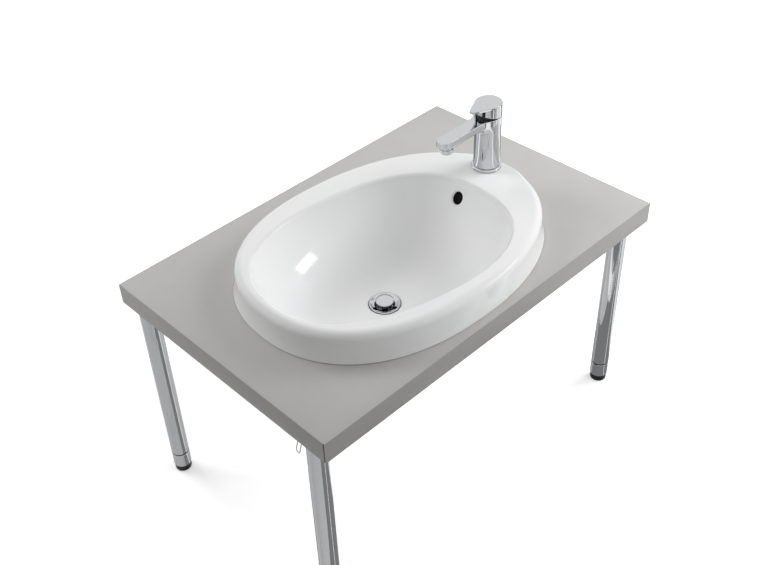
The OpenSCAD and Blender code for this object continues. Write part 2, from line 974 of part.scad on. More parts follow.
module waste_washer()
{
    color("white") at_waste(boss_z - lower_seal_t - washer_t) tube(washer_r, thread_r, washer_t);
}

module waste_back_nut()
{
    color("goldenrod")
    at_waste(boss_z - lower_seal_t - washer_t - back_nut_t)
        difference() {
            union() {
                cylinder(r = back_nut_r, h = back_nut_t, $fn = 6);
                translate([0, 0, back_nut_t - back_nut_rib]) cylinder(r = washer_r, h = back_nut_rib);
            }
            translate([0, 0, -1]) cylinder(r = thread_r, h = back_nut_t + 2);
        }
}

// Plug: a guide screwed in the crossbar, and the cap on its spindle
module plug_guide()
{
    color("goldenrod")
    at_waste(hub_z + hub_h)
        difference() {
            union() {
                cylinder(r = guide_r, h = guide_h);
                translate([0, 0, -hub_h]) cylinder(r = guide_thread_r, h = hub_h + eps);
            }
            translate([0, 0, -hub_h - 1]) cylinder(r = spindle_r + running, h = hub_h + 10);
        }
}

module plug_cap()
{
    cap_r = plug_dia / 2;
    edge = 1.2;
    spindle_low = hub_z - 10;
    color("silver")
    at_waste(0) {
        translate([0, 0, cap_z])
            rotate_extrude()
            union() {
                square([cap_r - edge, cap_t]);
                square([cap_r, cap_t - edge]);
                translate([cap_r - edge, cap_t - edge]) circle(r = edge);
            }
        translate([0, 0, cap_z - cap_skirt_h]) cylinder(r = cap_skirt_r, h = cap_skirt_h + eps);
        translate([0, 0, spindle_low]) cylinder(r = spindle_r, h = cap_z - spindle_low);
    }
}

module plug_seal()
{
    color("black")
    at_waste(cap_z - plug_seal_t) tube(plug_dia / 2 - 1, cap_skirt_r, plug_seal_t);
}

// Coil between the guide and the cap, drawn in its resting length
module plug_spring()
{
    turns = 4;
    per_turn = 14;
    sides = 6;
    wire = 0.6;
    coil_r = 4.2;
    rise = spring_high - spring_low - 2 * wire - 0.4;
    low = spring_low + wire + 0.2;
    rings = [
        for (i = [0:turns * per_turn])
            let(a = i * 360 / per_turn, f = i / (turns * per_turn))
            [
                for (j = [0:sides - 1])
                    let(b = j * 360 / sides, r = coil_r + wire * cos(b))
                    [r * cos(a), r * sin(a), low + f * rise + wire * sin(b)]
            ]
    ];
    mid = function(r) [for (k = [0:2]) (r[0][k] + r[3][k]) / 2];
    color("silver") at_waste(0) ring_solid(rings, mid(rings[0]), mid(rings[turns * per_turn]));
}

// Legs, in the frame of their own axis
module leg_plate()
{
    color("silver")
    difference() {
        union() {
            translate([0, 0, tube_top]) cylinder(r = leg_r + 1, h = plate_th);
            translate([0, -plate_half, tube_top]) cube([plate_len, 2 * plate_half, plate_th]);
            translate([plate_len, 0, tube_top]) cylinder(r = plate_half, h = plate_th);
            translate([0, 0, tube_top - plate_spigot_h]) cylinder(r = leg_in, h = plate_spigot_h + eps);
        }
        for (p = screw_spots)
            translate([p.x, p.y, tube_top]) screw(plate_th);
    }
}

// Countersunk screw, its head's face at Z = 0
module screw(length)
{
    head_h = 2.2;
    cylinder(r1 = 2 * screw_r, r2 = screw_r, h = head_h, $fn = 24);
    cylinder(r = screw_r, h = length, $fn = 24);
}

module leg_screws()
{
    color("silver")
    each_leg()
        for (p = screw_spots)
            translate([p.x, p.y, tube_top]) screw(screw_len);
}

module leg_tube()
{
    color("silver") translate([0, 0, tube_end]) tube(leg_r, leg_in, tube_top - tube_end);
}

module leg_bush()
{
    color("dimgray")
    translate([0, 0, tube_end - ring_h])
        difference() {
            cylinder(r = leg_in, h = bush_h);
            translate([0, 0, -1]) cylinder(r = stud_thread_r + running, h = bush_h + 2);
        }
}

module leg_ring()
{
    color("black") translate([0, 0, tube_end - ring_h]) tube(leg_r, leg_in, ring_h);
}

// Sleeve with the threaded stud that winds into the bush
module foot_sleeve()
{
    top_gap = 0.3;
    color("silver")
    translate([0, 0, foot_h])
        difference() {
            union() {
                cylinder(r = leg_r, h = sleeve_h - top_gap);
                cylinder(r = stud_thread_r, h = sleeve_h + stud_thread_len);
            }
            translate([0, 0, -1]) cylinder(r = foot_spigot_r, h = foot_spigot_h + 1);
        }
}

module foot_pad()
{
    pad_r = leg_r - 1;
    edge = 3;
    color("black") {
        rotate_extrude()
            union() {
                translate([0, edge]) square([pad_r, foot_h - edge]);
                square([pad_r - edge, foot_h]);
                translate([pad_r - edge, edge]) circle(r = edge);
            }
        translate([0, 0, foot_h - eps]) cylinder(r = foot_spigot_r, h = foot_spigot_h);
    }
}

basin();
worktop_board();
long_band(1);  // edge_band_front
long_band(-1);  // edge_band_back
short_band(1);  // edge_band_left
short_band(-1);  // edge_band_right
sealant_bead();
tap_gasket();
tap_base_ring();
tap_body();
tap_inlet_block();
tap_spout();
aerator_housing();
aerator_insert();
cartridge_body();
cartridge_nut();
cartridge_stem();
lever_carrier();
lever();
lever_pin();
lever_button();
tap_stud();
rubber_horseshoe();
metal_horseshoe();
stud_nut();
waste_body();
waste_upper_seal();
waste_lower_seal();
waste_washer();
waste_back_nut();
plug_guide();
plug_cap();
plug_seal();
plug_spring();
leg_screws();
wire_hook();
for (i = legs) {
    at_leg(i) leg_plate();
    at_leg(i) leg_tube();
    at_leg(i) leg_bush();
    at_leg(i) leg_ring();
    at_leg(i) foot_sleeve();
    at_leg(i) foot_pad();
}
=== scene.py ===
"""A countertop washbasin of white vitreous china in a grey worktop on four chrome levelling legs,
with a single-lever mixer tap, a push waste and an overflow.

Pieces are made in millimetres and scaled to metres as their mesh is written.
"""

import json
from math import atan2, cos, degrees, pi, radians, sin

import bmesh
import bpy
import numpy as np
from mathutils import Matrix, Vector


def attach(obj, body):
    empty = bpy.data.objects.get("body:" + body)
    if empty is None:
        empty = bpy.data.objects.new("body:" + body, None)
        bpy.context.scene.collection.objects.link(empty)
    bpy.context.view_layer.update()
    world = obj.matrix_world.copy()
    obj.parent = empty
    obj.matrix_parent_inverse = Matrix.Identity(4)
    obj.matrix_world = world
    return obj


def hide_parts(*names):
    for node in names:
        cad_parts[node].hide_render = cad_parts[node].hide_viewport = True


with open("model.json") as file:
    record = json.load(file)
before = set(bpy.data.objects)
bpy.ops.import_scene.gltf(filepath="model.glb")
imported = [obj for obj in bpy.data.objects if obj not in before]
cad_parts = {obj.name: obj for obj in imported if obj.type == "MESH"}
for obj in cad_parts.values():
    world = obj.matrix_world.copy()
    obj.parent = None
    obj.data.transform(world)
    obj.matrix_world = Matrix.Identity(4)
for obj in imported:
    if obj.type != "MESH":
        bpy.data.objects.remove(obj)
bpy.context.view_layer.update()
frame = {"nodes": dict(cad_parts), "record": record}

# Camera.
# Stands to the left of the user and looks down at the basin, as the photographer did.
camera = bpy.data.objects.new("camera", bpy.data.cameras.new("camera"))
camera.data.sensor_width = 36
camera.data.lens = 49.46
camera.data.shift_x = 0.0509
camera.rotation_mode = "QUATERNION"
camera.location = (-1.01386, -1.04145, 1.57111)
camera.rotation_quaternion = (
    Matrix.Rotation(radians(-40.475), 3, "Z")
    @ Matrix.Rotation(radians(50.402), 3, "X")
    @ Matrix.Rotation(radians(-4.185), 3, "Z")
).to_quaternion()
bpy.context.scene.collection.objects.link(camera)
bpy.context.scene.camera = camera


# Studio.
# A white floor that keeps the object's shadow, large soft boxes round the object that hide from
# reflections, a narrow one that draws the bright patch in the bowl, and cards that the chrome
# mirrors.
def node(tree, kind, inputs=(), **settings):
    """A node of that kind in a tree, with its settings, and its inputs set or linked."""
    made = tree.nodes.new(kind)
    for name, value in settings.items():
        setattr(made, name, value)
    for name, value in dict(inputs).items():
        if isinstance(value, bpy.types.NodeSocket):
            tree.links.new(value, made.inputs[name])
        else:
            made.inputs[name].default_value = value
    return made


def shade(hex_colour):
    """An sRGB hex colour as the linear RGBA that a socket takes."""
    values = [int(hex_colour[i : i + 2], 16) / 255 for i in (1, 3, 5)]
    return [v / 12.92 if v <= 0.04045 else ((v + 0.055) / 1.055) ** 2.4 for v in values] + [1.0]


def soft_box(name, place, target, size, power):
    """A rectangular lamp at a place in metres, turned to its target."""
    lamp = bpy.data.objects.new(name, bpy.data.lights.new(name, "AREA"))
    lamp.data.shape = "RECTANGLE"
    lamp.data.size, lamp.data.size_y = size
    lamp.data.energy = power
    lamp.location = place
    lamp.rotation_mode = "QUATERNION"
    lamp.rotation_quaternion = (Vector(target) - Vector(place)).to_track_quat("-Z", "Y")
    bpy.context.scene.collection.objects.link(lamp)
    return lamp


# Key from the right, fill from the front and the back; the window draws the patch in the bowl
worktop_middle, box_size = (0.0, 0.0, 0.45), (1.2, 1.2)
soft_box("key", (1.79, -0.65, 1.55), worktop_middle, box_size, 27).visible_glossy = False
soft_box("front", (0.65, -1.79, 1.55), worktop_middle, box_size, 6.8).visible_glossy = False
soft_box("window", (1.38, -1.45, 1.07), (-0.12, 0.09, 0.43), (0.75, 0.32), 3.6)
soft_box("back", (-0.76, 1.63, 1.71), worktop_middle, box_size, 22.4).visible_glossy = False

# White to the camera and in reflections, dim as a light on the object
world = bpy.data.worlds.new("studio")
world.use_nodes = True
tree = world.node_tree
tree.nodes.clear()
seen = node(tree, "ShaderNodeLightPath")
reflected = node(
    tree,
    "ShaderNodeMath",
    {0: seen.outputs["Is Glossy Ray"], 1: seen.outputs["Is Transmission Ray"]},
    operation="MAXIMUM",
)
backdrop = node(
    tree,
    "ShaderNodeMath",
    {0: seen.outputs["Is Camera Ray"], 1: reflected.outputs[0]},
    operation="MAXIMUM",
)
strength = node(
    tree, "ShaderNodeMapRange", {"Value": backdrop.outputs[0], "To Min": 0.28, "To Max": 1.0}
)
sky = node(
    tree,
    "ShaderNodeBackground",
    {"Color": shade("#FFFFFF"), "Strength": strength.outputs["Result"]},
)
node(tree, "ShaderNodeOutputWorld", {"Surface": sky.outputs[0]})
bpy.context.scene.world = world
bpy.context.scene.view_settings.view_transform = "Standard"


def material(name):
    """A new material with an empty node tree."""
    made = bpy.data.materials.new(name)
    made.use_nodes = True
    made.node_tree.nodes.clear()
    return made, made.node_tree


def closed(tree, shader):
    """Ends a material's tree with the shader of its surface."""
    node(tree, "ShaderNodeOutputMaterial", {"Surface": shader.outputs[0]})


def shown_from_above(tree, shader):
    """Ends a material's tree with a shader that is clear from below."""
    side = node(tree, "ShaderNodeNewGeometry")
    clear = node(tree, "ShaderNodeBsdfTransparent")
    one_sided = node(
        tree,
        "ShaderNodeMixShader",
        {0: side.outputs["Backfacing"], 1: shader.outputs[0], 2: clear.outputs[0]},
    )
    closed(tree, one_sided)


def flat_face(name, corners, finish):
    """One face as an object, with its corners in metres."""
    mesh = bpy.data.meshes.new(name)
    mesh.from_pydata(corners, [], [tuple(range(len(corners)))])
    mesh.materials.append(finish)
    made = bpy.data.objects.new(name, mesh)
    bpy.context.scene.collection.objects.link(made)
    return made


painted, tree = material("painted_studio_floor")
# Matt white paint. A glow that only the camera sees lifts it to the white around it, less near
# the object, where its shadow shows. The floor is clear from below, so the underside can be seen.
paint = node(tree, "ShaderNodeBsdfDiffuse", {"Color": shade("#F4F4F4")})
where = node(tree, "ShaderNodeNewGeometry")
far = node(tree, "ShaderNodeVectorMath", {0: where.outputs["Position"]}, operation="LENGTH")
fade = {"From Min": 1.2, "From Max": 3.0, "To Min": 0.44, "To Max": 1.0}
lifted = node(tree, "ShaderNodeMapRange", {"Value": far.outputs["Value"], **fade})
glow = node(
    tree,
    "ShaderNodeEmission",
    {"Color": shade("#FFFFFF"), "Strength": lifted.outputs["Result"]},
)
path = node(tree, "ShaderNodeLightPath")
lift = node(
    tree, "ShaderNodeMixShader", {0: path.outputs["Is Camera Ray"], 2: glow.outputs[0]}
)
both = node(tree, "ShaderNodeAddShader", {0: paint.outputs[0], 1: lift.outputs[0]})
shown_from_above(tree, both)
floor_half = 12
corners = [(x * floor_half, y * floor_half, 0) for x, y in ((-1, -1), (1, -1), (1, 1), (-1, 1))]
flat_face("floor", corners, painted)


def card(spot, z, bearing, spread, reach, strength):
    """A wedge that only reflections see. It points away from a tube, as a streak on the tube."""
    sides = [radians(bearing - spread / 2), radians(bearing + spread / 2)]
    points = [(*spot, z)] + [(spot[0] + reach * cos(a), spot[1] + reach * sin(a), z) for a in sides]
    paper, tree = material("card")
    lit = node(tree, "ShaderNodeEmission", {"Color": shade("#FFFFFF"), "Strength": strength})
    shown_from_above(tree, lit)
    made = flat_face("card", points, paper)
    made.visible_camera = made.visible_diffuse = made.visible_shadow = False
    made.visible_transmission = made.visible_volume_scatter = False


# Each leg mirrors a bright line and two broad tones, and the tap five streaks: bearing in
# degrees, spread in degrees, strength
leg_streaks = ((65, 7, 1.3), (40, 36, 0.28), (-100, 40, 0.62))
tap_streaks = ((153, 8, 1.5), (-97, 6, 1.3), (-28, 9, 1.6), (95, 50, 0.3), (-8, 16, 0.2))
for spot in ((-0.379, -0.217), (0.379, -0.217), (0.379, 0.217), (-0.379, 0.217)):
    photographer = degrees(atan2(camera.location.y - spot[1], camera.location.x - spot[0]))
    for turn, spread, strength in leg_streaks:
        card(spot, 0.001, photographer + turn, spread, 1.5, strength)
for bearing, spread, strength in tap_streaks:
    card((0.232, -0.0165), 0.5102, bearing, spread, 0.25, strength)


# Basin.
# One casting of vitreous china: a hollow rim whose wall stands on the worktop, a deep oval bowl
# that sits off centre in it, and a tap ledge where the rim is widest. Glazed white and fired.
mm = 0.001
rim_z, basin_z, deck_t, glaze_t = 509.0, 454.0, 13.0, 11.0
bowl_x, bowl_y, bowl_d, lip_r, seat_r, bowl_turn = -61.2, -41.6, 133.0, 7.0, 33.0, -8.4
bowl_middle, rim_middle = np.array([bowl_x, bowl_y]), np.array([-24.2, -31.4])
tap_x, tap_y, tap_hole_r = 232.0, -16.5, 16.5
overflow_at, overflow_d, overflow_r = radians(16.1), 31.5, 9.6


def piece(name, points, faces, finish):
    """A smooth mesh object from points in millimetres."""
    mesh = bpy.data.meshes.new(name)
    mesh.from_pydata(np.asarray(points, float) * mm, [], faces)
    mesh.materials.append(finish)
    mesh.shade_smooth()
    made = bpy.data.objects.new(name, mesh)
    bpy.context.scene.collection.objects.link(made)
    return made


def loop_faces(rings, around, wrap):
    """Quads between neighbouring rings of points, and from the last to the first if wrap."""
    i, j = np.meshgrid(np.arange(rings if wrap else rings - 1), np.arange(around), indexing="ij")
    up, on = (i + 1) % rings, (j + 1) % around
    quads = [i * around + j, i * around + on, up * around + on, up * around + j]
    return np.stack(quads, -1).reshape(-1, 4).tolist()


def oval(t, a, b, n, egg):
    """A superellipse of half sizes a and b, wider to one end by egg."""
    c, s = np.cos(t), np.sin(t)
    x = a * np.sign(c) * np.abs(c) ** (2 / n)
    return np.stack([x, b * np.sign(s) * np.abs(s) ** (2 / n) * (1 + egg * c)], -1)


def turned_by(p, angle):
    """Points turned anticlockwise by an angle in degrees."""
    c, s = cos(radians(angle)), sin(radians(angle))
    return p @ np.array([[c, s], [-s, c]])


def outline(t, off):
    """The rim's outer edge, drawn in by off."""
    return rim_middle + turned_by(oval(t, 285.8 - off, 209.0 - off, 2.23, -0.06), -2.75)


def opening(t):
    """The bowl's edge at the lip, round the bowl's own centre."""
    return turned_by(oval(t, 227.6, 163.7, 2.4, 0.04), bowl_turn)


def edge_r(t):
    """The radius of the rim's outer edge: 5 beside the tap, 14 elsewhere."""
    away = np.clip((np.abs(np.degrees(t) - 6) - 8) / 14, 0, 1)
    return 5 + 9 * away * away * (3 - 2 * away)


def at_height(p, z):
    """Plan points lifted to the height z, which may change from point to point."""
    return np.concatenate([p, np.broadcast_to(z, p.shape[:-1])[..., None]], -1)


def bowl_circle(t, r):
    """A circle about the bowl's centre, its points in line with those of the opening."""
    return r * np.stack([np.cos(t + radians(bowl_turn)), np.sin(t + radians(bowl_turn))], -1)


def bowl(k, t):
    """The bowl's surface, from the waste's seat at k = 0 to the lip at k = 1."""
    p = (1 - k) * bowl_circle(t, seat_r) + k * opening(t)
    depth = lip_r + (bowl_d - lip_r) * (1 - max(k, 0) ** 2.8) ** 0.92
    return at_height(bowl_middle + p, rim_z - depth)


def bowl_normal(k, t):
    """The unit normal of the bowl's surface, towards the user's hands."""
    down, along = bowl(k, t) - bowl(k - 0.002, t), bowl(k, t + 0.005) - bowl(k, t - 0.005)
    out = np.cross(down, along)
    return out / np.linalg.norm(out, axis=-1, keepdims=True)


def bowl_back(k, t):
    """The back of the bowl's wall, which swells over the overflow's channel."""
    aside = np.linalg.norm(opening(t), axis=-1) * k * np.sin(t - overflow_at)
    ahead = np.cos(t - overflow_at) > 0
    swell = np.exp(-((np.abs(aside) / 12.5) ** 4)) * ahead * np.clip((0.97 - k) / 0.05, 0, 1)
    depth = glaze_t + 12.8 * swell * np.clip(k / 0.12, 0, 1)
    return bowl(k, t) - depth[..., None] * bowl_normal(k, t)


def basin_rings(t):
    """The casting's closed surface as rings: up the bowl, over the rim, down and back under."""
    lip = bowl(1.0, t)[..., :2]
    width = np.linalg.norm(outline(t, 0) - lip, axis=-1)[..., None]
    r = edge_r(t)[..., None]
    hollow = np.maximum(0.14, 1 - 21 / width)

    def across(f):
        """Points between the lip at f = 0 and the outline at f = 1."""
        return lip + f * (outline(t, 0) - lip)

    def drawn_in(off):
        """The outline drawn in by an amount that changes round it."""
        unit = (outline(t, 10) - outline(t, 0)) / 10
        return outline(t, 0) + unit * off

    def round_waste(*profile):
        return [at_height(bowl_middle + bowl_circle(t, radius), z) for radius, z in profile]

    # The waste's bore, its seat and the bowl, in steps that close up towards the lip
    rings = round_waste((23, 349), (23, 362), (23, 372.4), (23.6, 373), (26, 373), (28.4, 373))
    rings += round_waste((28.8, 373.4), (29, 374.4), (29.4, 375.1), (30.2, 375.5), (31.6, 375.8))
    rings += [bowl(1 - (1 - i / 64) ** 1.8, t) for i in range(65)]
    # The lip's round, the flat rim, and the round of its outer edge
    for a in np.radians(np.arange(9, 91, 9)):
        rings.append(at_height(across(lip_r * (1 - cos(a)) / width), rim_z - lip_r * (1 - sin(a))))
    inner, outer = across(lip_r / width), drawn_in(r)
    rings += [at_height((1 - f) * inner + f * outer, rim_z) for f in np.linspace(0.08, 0.92, 12)]
    for a in np.radians(np.arange(90, -1, -7.5)):
        rings.append(at_height(drawn_in(r * (1 - cos(a))), rim_z - r[..., 0] * (1 - sin(a))))
    # The outer wall, which flares by 6 mm to its foot
    for v in np.linspace(0.12, 0.98, 8):
        rings.append(at_height(outline(t, -6 * v * v), rim_z - r[..., 0] - (55 - r[..., 0]) * v))
    rings += [at_height(outline(t, -5.9), 454.4), at_height(outline(t, -5.4), basin_z)]
    rings += [at_height(outline(t, off), basin_z) for off in (-2, 3, 7)]
    # Inside the hollow: up the wall, across under the rim, and down the back of the bowl
    rings.append(at_height(outline(t, 8), basin_z + 1))
    for f in (0.35, 0.7, 0.92):
        inside, deck = outline(t, 8), across((1 + hollow) / 2)
        rings.append(at_height((1 - f**2) * inside + f**2 * deck, basin_z + f * 42))
    for v in np.linspace(1, -1, 9):
        rings.append(at_height(across((1 + v * hollow) / 2), rim_z - deck_t))
    rings += [bowl_back(1 - (1 - i / 64) ** 1.8, t) for i in range(54, 3, -2)]
    return rings + round_waste(
        (44.6, 363), (44, 361), (44, 349.5), (43.5, 348.3), (42, 348), (30, 348), (24, 348)
    )


def mottled(tree, factor, colours, reach=(0.3, 0.7)):
    """A colour that runs between two hex colours while factor crosses reach."""
    ramp = node(tree, "ShaderNodeValToRGB", {"Fac": factor})
    for element, at, colour in zip(ramp.color_ramp.elements, reach, colours):
        element.position, element.color = at, shade(colour)
    return ramp.outputs["Color"]


def relief(tree, scale, strength, depth, **noise):
    """A bumped normal from a noise on the object, its scale per metre and its depth in metres."""
    place = node(tree, "ShaderNodeTexCoord")
    noise = {"Vector": place.outputs["Object"], "Scale": scale, **noise}
    lumps = node(tree, "ShaderNodeTexNoise", noise)
    rise = {"Height": lumps.outputs["Fac"], "Strength": strength, "Distance": depth}
    return node(tree, "ShaderNodeBump", rise).outputs["Normal"]


china, tree = material("glazed_vitreous_china")
# Glazed vitreous china: a hard clear glaze over a white body. The fired glaze lies in faint waves
# about 30 mm long, which bend the reflections, and its white turns slightly warmer in clouds about
# 170 mm across.
place = node(tree, "ShaderNodeTexCoord")
clouds = node(
    tree,
    "ShaderNodeTexNoise",
    {"Vector": place.outputs["Object"], "Scale": 6.0, "Detail": 2.0, "Roughness": 0.5},
)
glaze = node(
    tree,
    "ShaderNodeBsdfPrincipled",
    {
        "Base Color": mottled(tree, clouds.outputs["Fac"], ("#F4F5F6", "#F8F8F7")),
        "Roughness": 0.6,
        "IOR": 1.5,
        "Specular IOR Level": 0.1,
        "Coat Weight": 1.0,
        "Coat Roughness": 0.03,
        "Coat IOR": 1.52,
        "Coat Normal": relief(tree, 33.0, 0.05, 0.001, Detail=1.0, Roughness=0.4),
    },
)
closed(tree, glaze)

around = 288
bearings = np.linspace(-pi, pi, around, endpoint=False)
rings = basin_rings(bearings)
basin = piece(
    "basin_casting",
    np.concatenate(rings),
    [q[::-1] for q in loop_faces(len(rings), around, True)],
    china,
)


def geometry_tree(name, sockets):
    """An empty Geometry Nodes tree with those inputs, and the sockets of its input node."""
    made = bpy.data.node_groups.new(name, "GeometryNodeTree")
    for label, kind in sockets.items():
        made.interface.new_socket(label, in_out="INPUT", socket_type="NodeSocket" + kind)
    made.interface.new_socket("Geometry", in_out="OUTPUT", socket_type="NodeSocketGeometry")
    return made, node(made, "NodeGroupInput").outputs


def finished(tree, geometry, given):
    """Ends a tree: instances made real, and the finish on every face."""
    real = node(tree, "GeometryNodeRealizeInstances", {"Geometry": geometry})
    coated = node(
        tree, "GeometryNodeSetMaterial", {"Geometry": real.outputs[0], "Material": given["Finish"]}
    )
    node(tree, "NodeGroupOutput", {"Geometry": coated.outputs[0]})


def grow(made, tree, **values):
    """Runs a tree on an object and keeps what it grows as the object's plain mesh."""
    modifier = made.modifiers.new("grow", "NODES")
    modifier.node_group = tree
    for socket in tree.interface.items_tree:
        if socket.in_out == "INPUT" and socket.name in values:
            modifier[socket.identifier] = values[socket.name]
    depsgraph = bpy.context.evaluated_depsgraph_get()
    mesh = bpy.data.meshes.new_from_object(made.evaluated_get(depsgraph), depsgraph=depsgraph)
    made.modifiers.clear()
    made.data = mesh
    return made


# Turning: a sheet whose rows follow the profile's points is rolled round Z and welded shut
turning, given = geometry_tree(
    "turning",
    {"Geometry": "Geometry", "Segments": "Int", "Centre": "Vector", "Finish": "Material"},
)
count = node(turning, "GeometryNodeAttributeDomainSize", {"Geometry": given["Geometry"]})
columns = node(turning, "ShaderNodeMath", {0: given["Segments"], 1: 1.0}, operation="ADD")
sheet = node(
    turning,
    "GeometryNodeMeshGrid",
    {
        "Size X": 1.0,
        "Size Y": 1.0,
        "Vertices X": columns.outputs[0],
        "Vertices Y": count.outputs["Point Count"],
    },
)
position = node(turning, "GeometryNodeInputPosition")
on_sheet = node(turning, "ShaderNodeSeparateXYZ", {0: position.outputs[0]})
angle = node(turning, "ShaderNodeMath", {0: on_sheet.outputs["X"], 1: 2 * pi}, operation="MULTIPLY")
last = node(
    turning, "ShaderNodeMath", {0: count.outputs["Point Count"], 1: 1.0}, operation="SUBTRACT"
)
up = node(turning, "ShaderNodeMath", {0: on_sheet.outputs["Y"], 1: 0.5}, operation="ADD")
row = node(turning, "ShaderNodeMath", {0: up.outputs[0], 1: last.outputs[0]}, operation="MULTIPLY")
whole = node(turning, "ShaderNodeMath", {0: row.outputs[0]}, operation="ROUND")
picked = node(
    turning,
    "GeometryNodeSampleIndex",
    {"Geometry": given["Geometry"], "Value": position.outputs[0], "Index": whole.outputs[0]},
    data_type="FLOAT_VECTOR",
)
profile = node(turning, "ShaderNodeSeparateXYZ", {0: picked.outputs[0]})
east = node(turning, "ShaderNodeMath", {0: angle.outputs[0]}, operation="COSINE")
north = node(turning, "ShaderNodeMath", {0: angle.outputs[0]}, operation="SINE")
x = node(
    turning, "ShaderNodeMath", {0: profile.outputs["X"], 1: east.outputs[0]}, operation="MULTIPLY"
)
y = node(
    turning, "ShaderNodeMath", {0: profile.outputs["X"], 1: north.outputs[0]}, operation="MULTIPLY"
)
rolled = node(
    turning,
    "ShaderNodeCombineXYZ",
    {"X": x.outputs[0], "Y": y.outputs[0], "Z": profile.outputs["Z"]},
)
moved = node(
    turning,
    "GeometryNodeSetPosition",
    {"Geometry": sheet.outputs["Mesh"], "Position": rolled.outputs[0], "Offset": given["Centre"]},
)
welded = node(
    turning, "GeometryNodeMergeByDistance", {"Geometry": moved.outputs[0], "Distance": 0.000001}
)
finished(turning, welded.outputs[0], given)


def face_outwards(made):
    """Turns all faces of a closed mesh outwards."""
    build = bmesh.new()
    build.from_mesh(made.data)
    bmesh.ops.recalc_face_normals(build, faces=build.faces)
    build.to_mesh(made.data)
    build.free()


def turned(name, profile, finish, centre=(0, 0, 0), segments=96, sharp=35):
    """A turned piece from its profile of (radius, height) pairs."""
    line = bpy.data.meshes.new(name)
    points = [(r * mm, 0, z * mm) for r, z in profile]
    line.from_pydata(points, [(i, i + 1) for i in range(len(points) - 1)], [])
    made = bpy.data.objects.new(name, line)
    bpy.context.scene.collection.objects.link(made)
    grow(made, turning, Segments=segments, Centre=np.multiply(centre, mm).tolist(), Finish=finish)
    face_outwards(made)
    made.data.shade_smooth()
    made.data.set_sharp_from_angle(angle=radians(sharp))
    return made


def rounds(x, z, r, start, end, steps=6):
    """Profile points along a round of radius r about (x, z), its angles in degrees."""
    return [
        (x + r * cos(a), z + r * sin(a)) for a in np.radians(np.linspace(start, end, steps + 1))
    ]


def cut(target, *cutters):
    """Takes the cutters' shapes out of target and removes them."""
    for cutter in (target, *cutters):
        face_outwards(cutter)
    for cutter in cutters:
        modifier = target.modifiers.new("cut", "BOOLEAN")
        modifier.object = cutter
        modifier.solver = "EXACT"
    depsgraph = bpy.context.evaluated_depsgraph_get()
    old = target.data
    target.data = bpy.data.meshes.new_from_object(
        target.evaluated_get(depsgraph), depsgraph=depsgraph
    )
    target.data.name = old.name
    target.modifiers.clear()
    for cutter in cutters:
        bpy.data.objects.remove(cutter)


# The overflow's mouth flares into the bowl with a soft glazed edge, and widens inside the wall
overflow_k = (1 - ((overflow_d - lip_r) / (bowl_d - lip_r)) ** (1 / 0.92)) ** (1 / 2.8)
mouth = bowl(overflow_k, np.array([overflow_at]))[0]
outward = Vector(bowl_normal(overflow_k, np.array([overflow_at]))[0])
flare = [
    (overflow_r + 3.2 * (1 - cos(a)), 3.2 * (sin(a) - 1)) for a in np.radians(np.arange(0, 76, 7.5))
]
profile = [(0, -11.5), (10, -11.5), (10, -7.5), (overflow_r, -6.5)] + flare
profile += [(overflow_r + 3.4, 4), (0, 4)]
hole = turned("overflow_cutter", profile, china, segments=64)
biscuit_painted_shade, tree = material("unglazed_overflow_channel_painted_shade")
# Bare fireclay inside the casting, which no glaze reaches: matt, with pores about 1 mm wide. Its
# nearly black colour is painted shade for the deep channel that no daylight reaches; the fireclay
# itself is buff.
pores = relief(tree, 900.0, 0.4, 0.0003)
bare_and_shaded = {"Base Color": shade("#151514"), "Roughness": 0.95, "Normal": pores}
closed(tree, node(tree, "ShaderNodeBsdfPrincipled", bare_and_shaded))
aim = outward.to_track_quat("Z", "Y").to_matrix().to_4x4()
hole.data.transform(Matrix.Translation(mouth * mm) @ aim @ Matrix.Diagonal((1, 1.25, 1, 1)))
tap_hole = turned(
    "tap_hole_cutter",
    [(0, 480), (tap_hole_r, 480), (tap_hole_r, 520), (0, 520)],
    china,
    (tap_x, tap_y, 0),
    64,
)
cut(basin, hole, tap_hole)
basin.data.materials.append(biscuit_painted_shade)
# Faces in the overflow's hole deeper than 3.6 mm take the nearly black painted shade
painted_shade_depth, pocket_deep, pocket_half = 3.6 * mm, 13 * mm, 13 * mm
for face in basin.data.polygons:
    away = face.center - Vector(mouth * mm)
    deep = -away.dot(outward)
    if painted_shade_depth < deep < pocket_deep and (away + deep * outward).length < pocket_half:
        face.material_index = 1
basin.data.set_sharp_from_angle(angle=radians(50))
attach(basin, "base")
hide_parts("basin")

# Worktop.
# A chipboard core faced with grey laminate, and four ABS bands glued round its edge. The front
# band runs past the short bands, so its joint is the dark line beside the front corner.
half_l, half_d, board_low, board_high, band_t = 400.0, 261.5, 413.0, 453.0, 1.2

laminate, tree = material("grey_satin_laminate")
# High-pressure laminate with a fine satin grain: the surface is pebbled at about 0.8 mm, which
# breaks up the shine, with a faint cloudiness 40 mm across.
place = node(tree, "ShaderNodeTexCoord")
pebbles = node(
    tree,
    "ShaderNodeTexNoise",
    {"Vector": place.outputs["Object"], "Scale": 900.0, "Detail": 2.0, "Roughness": 0.6},
)
clouds = node(
    tree,
    "ShaderNodeTexNoise",
    {"Vector": place.outputs["Object"], "Scale": 25.0, "Detail": 3.0, "Roughness": 0.5},
)
gloss = node(
    tree, "ShaderNodeMapRange", {"Value": pebbles.outputs["Fac"], "To Min": 0.30, "To Max": 0.42}
)
rise = node(
    tree, "ShaderNodeBump", {"Height": pebbles.outputs["Fac"], "Strength": 0.25, "Distance": 0.0002}
)
film = node(
    tree,
    "ShaderNodeBsdfPrincipled",
    {
        "Base Color": mottled(tree, clouds.outputs["Fac"], ("#BEBDBB", "#C1C0BF")),
        "Roughness": gloss.outputs["Result"],
        "IOR": 1.5,
        "Normal": rise.outputs["Normal"],
    },
)
closed(tree, film)


